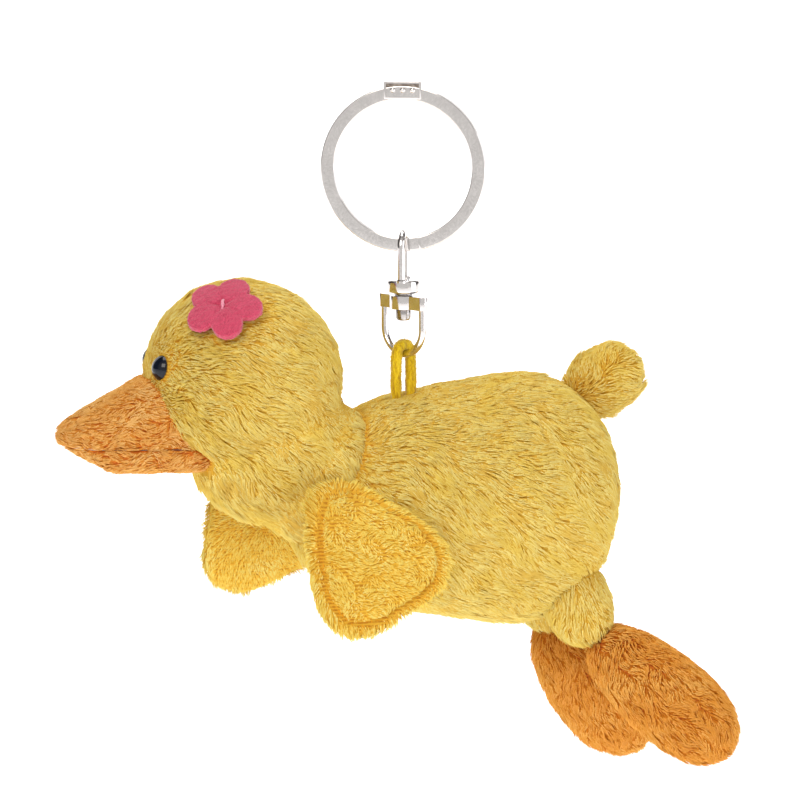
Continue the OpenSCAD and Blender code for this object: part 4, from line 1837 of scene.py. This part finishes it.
@dataclass
class Wing:
    """Padded wing in the shape of a leaf with three soft corners, sewn to the body at its top edge."""

    finishes: Finishes
    places: Places
    side: Side
    radius: float = 11.4 * MM
    thickness: float = 2.75 * MM
    lean: float = 20.0
    groove: float = 0.8
    groove_half: float = 0.045
    groove_press: float = 0.42
    # Half width of the shown groove band, whose short pile gets painted shade.
    accent_half: float = 0.032
    curl: float = 4.5 * MM
    panel_pile: float = 0.42
    fringe_pile: float = 0.74
    inner_pile: float = 0.5
    groove_pile: float = 0.2
    tuck: float = 4.2 * MM
    clear: float = 0.3 * MM

    def __post_init__(self) -> None:
        """Work out the wing's place from its joint. The two wings are sewn on a little differently."""
        self.body = f"wing_{self.side.word}"
        self.joint = self.places.joints[f"{self.body}_flap"]
        tilt = math.radians(self.lean)
        rise, ahead = (1.4 * MM, 0.1 * MM) if self.side is Side.RIGHT else (0.5 * MM, 0.6 * MM)
        middle = Vector((
            self.joint.x - ahead,
            abs(self.joint.y) + self.radius * math.sin(tilt) + self.clear,
            self.joint.z - self.radius * math.cos(tilt) + rise,
        ))
        self.place = mirrored(self.side, turned(middle, ("X", -90 + self.lean)))

    def reach(self, angle: Array) -> Array:
        """Give the outline's radius in a direction, 0 to the rear and a quarter turn upwards."""
        corners = 0.115 * np.cos(3 * angle + math.radians(9))
        longer = 0.05 * np.cos(angle - math.radians(120))
        return self.radius * (0.98 + corners + longer)

    def local(self, points: Array) -> Array:
        """Turn places into the wing's own frame, with X to the rear, Y down and Z outwards."""
        return carried(points, self.place.inverted())

    def share(self, points: Array) -> Array:
        """Give how far each point is from the middle, as a share of the outline's radius."""
        local = self.local(points)
        angle = np.arctan2(-local[:, 1], local[:, 0])
        return np.hypot(local[:, 0], local[:, 1]) / self.reach(angle)

    def leaf(self, name: str, inset: float) -> bpy.types.Object:
        """Make the padded leaf about its own origin.

        Args:
            name: the piece's name.
            inset: how far it stays inside the wing's outline, in metres.

        Returns:
            A closed mesh at its place.
        """
        piece = ball(name, Vector(), 1.0, 64)
        spots = places_of(piece)
        out = np.hypot(spots[:, 0], spots[:, 1])
        angle = np.arctan2(-spots[:, 1], spots[:, 0])
        flat = np.sign(spots[:, 2]) * np.abs(spots[:, 2]) ** 0.85
        wide = (self.reach(angle) - inset) * np.maximum(out, 1e-9) ** 0.7
        spots[:, 0] = wide * np.cos(angle)
        spots[:, 1] = -wide * np.sin(angle)
        spots[:, 2] = flat * (self.thickness - inset)
        move_points(piece, spots)
        return settle(piece, self.place)

    def press_groove(self, skin: bpy.types.Object) -> None:
        """Press the line of top stitching into both faces."""
        spots = places_of(skin)
        local = self.local(spots)
        off = (self.share(spots) - self.groove) / self.groove_half
        local[:, 2] *= 1 - self.groove_press * np.exp(-(off**2)) * self.outside(spots)
        move_points(skin, carried(local, self.place))

    def draw_in(self, piece: bpy.types.Object) -> None:
        """Draw the top edge in to the body, where it is sewn."""
        spots = places_of(piece)
        amount = np.clip((spots[:, 2] - self.joint.z + 4.5 * MM) / (5.0 * MM), 0, 1)
        amount = amount * amount * (3 - 2 * amount)
        spots[:, 1] -= self.side.value * self.tuck * amount
        move_points(piece, spots)

    def outside(self, points: Array) -> Array:
        """Say which points are on the outer face, where the stitching shows."""
        return self.local(points)[:, 2] > 0

    def flow(self, points: Array, normals: Array) -> Array:
        """Curl the pile inside the stitching and lay the fringe outwards and to the rear."""
        outward = points - np.array(self.place.translation)
        fringe = unit(outward) + np.array((0.35, 0.0, -0.5))
        waves = [ripples(points, self.curl, seed) for seed in (31, 32, 33)]
        curled = 0.9 * np.column_stack(waves) + np.array((0.7, 0.0, -0.4))
        inner = (self.share(points) < self.groove) & self.outside(points)
        return np.where(inner[:, None], curled, fringe)

    def trim(self, points: Array) -> Array:
        """Keep the pile short on the panel and shortest in the groove."""
        short = np.where(self.share(points) < self.groove, self.panel_pile, self.fringe_pile)
        short = np.where(self.outside(points), short, np.minimum(short, self.inner_pile))
        return np.where(self.in_groove(points), self.groove_pile, short)

    def in_groove(self, points: Array) -> Array:
        """Say which points are in the line of stitching, which the upper rear pile covers."""
        local = self.local(points)
        shown = 0.85 * local[:, 1] - 0.5 * local[:, 0] > -0.2 * self.radius
        return (np.abs(self.share(points) - self.groove) < self.accent_half) & self.outside(points) & shown

    def bend(self, piece: bpy.types.Object) -> None:
        """Bake the piece's place into its mesh."""
        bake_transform(piece)

    def build(self) -> None:
        """Make the skin, the wadding and the pile."""
        skin = self.leaf(f"{self.body}_skin", 0.6 * MM)
        remesh(skin, 0.55 * MM, 2)
        stuff(skin, lambda points: np.abs(self.share(points) - self.groove) < 0.04, 0.35 * MM)
        refine(skin)
        self.press_groove(skin)
        pile = Pile(
            f"{self.body}_pile", self.finishes.wing, self.flow,
            keep=everywhere, seed=300 + self.side.value,
            length=2.3, waver=0.3, trim=self.trim, lay=0.74, tuft_area=0.8, roundness=0.8,
            # The shown groove's pile takes the deepest orange tones, painted shade of the crease.
            accent=self.in_groove,
        ).grow(skin)
        wadding = self.leaf(f"{self.body}_wadding", 1.9 * MM)
        for piece in (skin, pile, wadding):
            self.draw_in(piece)
        dress(
            wadding, self.finishes.wadding, self.body, [f"{self.body}_stuffing"], 180.0
        )
        for piece in (skin, pile):
            self.bend(piece)
        skin.data.materials.append(self.finishes.backing_yellow)
        skin.data.shade_smooth()
        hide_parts(f"{self.body}_outer", f"{self.body}_inner")
        LOG.info("%s: %d faces of pile", self.body, len(pile.data.polygons))


# ---------------------------------------------------------------------------------------------
# Feet
# ---------------------------------------------------------------------------------------------


@dataclass
class Foot:
    """Flat stuffed foot, sewn below the leg stump by its heel."""

    finishes: Finishes
    places: Places
    side: Side
    slope: float
    ahead: float
    splay: float = 20.0
    length: float = 12.4 * MM
    radius: float = 5.8 * MM
    gap: float = 0.35 * MM
    tuck: float = 1.6 * MM
    flat: Matrix = Matrix.Diagonal((1.26, 1.05, 1.02, 1)).freeze()

    def build(self) -> None:
        """Make the skin, whose heel is tucked into the leg's pile, and the pile."""
        body = f"foot_{self.side.word}"
        joint = self.places.joints[f"{body}_swing"]
        at = Vector((joint.x + self.ahead, abs(joint.y), joint.z))
        spot = mirrored(
            self.side, turned(at, ("Z", self.splay), ("Y", 90 + self.slope), ("Z", 90))
        )
        out = Matrix.Translation((0, 0, self.length + self.gap - self.tuck / 2))
        form = Egg(
            self.length + self.tuck / 2, self.radius, spot @ out @ self.flat, swell=0.12, power=2.2
        )
        skin = form.skin(f"{body}_skin")
        remesh(skin, 0.6 * MM, 2)
        across = np.array(spot.to_3x3() @ Vector((0, 1, 0)))
        centre = np.array(form.place.translation)
        stuff(skin, lambda points: np.abs((points - centre) @ across) < 0.5 * MM, 0.4 * MM)
        refine(skin)
        away = np.array(spot.to_3x3() @ Vector((0, 0, 1)))
        pile = Pile(
            f"{body}_pile", self.finishes.orange,
            flow=lambda points, normals: away + 0.25 * normals + np.array((0, 0, -0.25)),
            keep=everywhere, seed=400 + self.side.value,
            length=1.9, lay=0.72, waver=0.6, wave=4.0, cling=0.55, roundness=0.8,
        )
        declare(pile.grow(skin), body)
        finish_skin(
            skin, self.finishes.backing_orange, body,
            [f"{body}_top", f"{body}_sole"],
        )


# ---------------------------------------------------------------------------------------------
# Hidden pieces, studio and main
# ---------------------------------------------------------------------------------------------


def dress_hidden(nodes: dict[str, bpy.types.Object], finishes: Finishes) -> None:
    """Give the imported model's own inner pieces their materials.

    Args:
        nodes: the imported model's objects by name.
        finishes: the materials.
    """
    chosen = {
        "stuffing": finishes.wadding, "pouch": finishes.calico, "washer": finishes.nylon,
        "knot": finishes.cotton,
    }
    for name, node in nodes.items():
        for word, material in chosen.items():
            if word in name:
                node.data.materials.clear()
                node.data.materials.append(material)


@dataclass
class Studio:
    """Plain white sweep, soft lights and the camera."""

    azimuth: float = -20.0
    elevation: float = 8.0
    field_width: float = 119.8 * MM
    focal: float = 300.0
    sensor: float = 36.0
    aim: tuple[float, float] = (-0.52 * MM, -45.1 * MM)
    middle: tuple[float, float, float] = (0.0, 0.0, -0.055)
    floor: float = -0.34
    sweep_front: float = -2.0
    sweep_rear: float = 2.9
    sweep_bend: float = 0.3
    sweep_top: float = 4.0
    sweep_half: float = 4.5
    glow: float = 0.74
    room: float = 0.78

    def axes(self) -> tuple[Vector, Vector, Vector]:
        """Work out the camera's right, up and back directions."""
        turn, rise = math.radians(self.azimuth), math.radians(self.elevation)
        right = Vector((math.cos(turn), math.sin(turn), 0))
        back = Vector((math.sin(turn) * math.cos(rise), -math.cos(turn) * math.cos(rise), math.sin(rise)))
        return right, back.cross(right), back

    def camera(self) -> None:
        """Set the camera with a long lens, level with the duck's back."""
        right, up, back = self.axes()
        aim = right * self.aim[0] + up * self.aim[1]
        distance = self.field_width * self.focal / self.sensor
        bpy.ops.object.camera_add(location=aim + back * distance)
        camera = bpy.context.active_object
        camera.name = "studio_camera"
        camera.rotation_euler = Matrix((right, up, back)).transposed().to_euler()
        camera.data.lens = self.focal
        camera.data.sensor_width = self.sensor
        camera.data.clip_start = 0.01
        bpy.context.scene.camera = camera

    def light(self, name: str, place: Sequence[float], size: float, power: float, tint: str) -> None:
        """Add one soft box that faces the duck.

        Args:
            name: the light's name.
            place: where it stands, in metres.
            size: its width and height, in metres.
            power: its power, in watts.
            tint: its colour in hex.
        """
        bpy.ops.object.light_add(type="AREA", location=place)
        lamp = bpy.context.active_object
        lamp.name = name
        lamp.data.shape = "SQUARE"
        lamp.data.size = size
        lamp.data.energy = power
        lamp.data.color = linear(tint)[:3]
        aim = Vector(self.middle) - Vector(place)
        lamp.rotation_euler = aim.to_track_quat("-Z", "Y").to_euler()

    def lights(self) -> None:
        """Set a large key at upper left, a fill at right, a top light and a faint low light."""
        self.light("key_box", (-0.62, -0.72, 0.55), 0.55, 5.1, "#fffaf2")
        self.light("fill_box", (0.75, -0.6, 0.12), 0.6, 2.7, "#f8faff")
        self.light("top_box", (0.05, 0.1, 0.85), 0.6, 4.4, "#ffffff")
        self.light("low_box", (-0.1, -0.7, -0.6), 0.6, 0.3, "#fff6e6")

    def sweep(self) -> None:
        """Make the floor and wall in one curved sheet."""
        start, bend, floor = self.sweep_rear, self.sweep_bend, self.floor
        profile = [(self.sweep_front, floor), (start, floor)]
        profile += [
            (start + bend * math.sin(a), floor + bend - bend * math.cos(a))
            for a in np.linspace(0.2, math.pi / 2, 9)
        ]
        profile.append((start + bend, self.sweep_top))
        points = [(x, y, z) for y, z in profile for x in (-self.sweep_half, self.sweep_half)]
        faces = [(2 * i, 2 * i + 1, 2 * i + 3, 2 * i + 2) for i in range(len(profile) - 1)]
        sheet = mesh_piece("studio_sweep", points, faces)
        settle(sheet, turned(ORIGIN, ("Z", self.azimuth)))
        material, _ = new_material(
            "matt_white_paper", Base_Color=linear("#ffffff"), Roughness=0.95,
            Emission_Color=linear("#ffffff"), Emission_Strength=self.glow, Specular_IOR_Level=0.0,
        )
        sheet.data.materials.append(material)
        sheet.data.shade_smooth()

    def surround(self) -> None:
        """Light the room evenly, with dark flags round the set that give bright metal its edges."""
        world = bpy.data.worlds.new("studio_room")
        bpy.context.scene.world = world
        world.use_nodes = True
        tree = world.node_tree
        heading = add_node(tree, "ShaderNodeTexCoord").outputs["Generated"]
        ahead = add_node(
            tree, "ShaderNodeVectorMath", {1: self.axes()[2]}, {0: heading}, operation="DOT_PRODUCT"
        )
        scaled = add_node(
            tree, "ShaderNodeMapRange", {"From Min": -1.0, "From Max": 1.0}, {"Value": ahead.outputs[1]}
        )
        ramp = add_node(tree, "ShaderNodeValToRGB", links={0: scaled.outputs[0]})
        set_ramp(ramp, [
            (0.0, "#f4f2f0"), (0.2, "#eeecea"), (0.3, "#5a5654"), (0.62, "#4a4644"),
            (0.78, "#c8c4c2"), (0.9, "#f4f2f0"),
        ])
        background = tree.nodes["Background"]
        tree.links.new(ramp.outputs[0], background.inputs["Color"])
        background.inputs["Strength"].default_value = self.room

    def build(self) -> None:
        """Set up the whole studio."""
        bpy.context.scene.view_settings.view_transform = "Standard"
        self.camera()
        self.surround()
        self.lights()
        self.sweep()


def main() -> None:
    """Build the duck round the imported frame."""
    logging.basicConfig(level=logging.INFO, format="%(name)s: %(message)s")
    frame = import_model()
    bpy.ops.object.select_all(action="DESELECT")
    Studio().build()
    finishes = Finishes()
    places = Places.read(frame)
    KeyRing(finishes).build()
    Swivel(finishes).build()
    CordLoop(finishes).build()
    Torso(finishes, places).build()
    Tail(finishes, places).build()
    Head(finishes, places).build()
    for side in Side:
        Wing(finishes, places, side).build()
    for side, slope, ahead in ((Side.LEFT, 41.0, 0.6 * MM), (Side.RIGHT, 50.0, 0.0)):
        Foot(finishes, places, side, slope, ahead).build()
    dress_hidden(frame["nodes"], finishes)


if __name__ == "__main__":
    main()
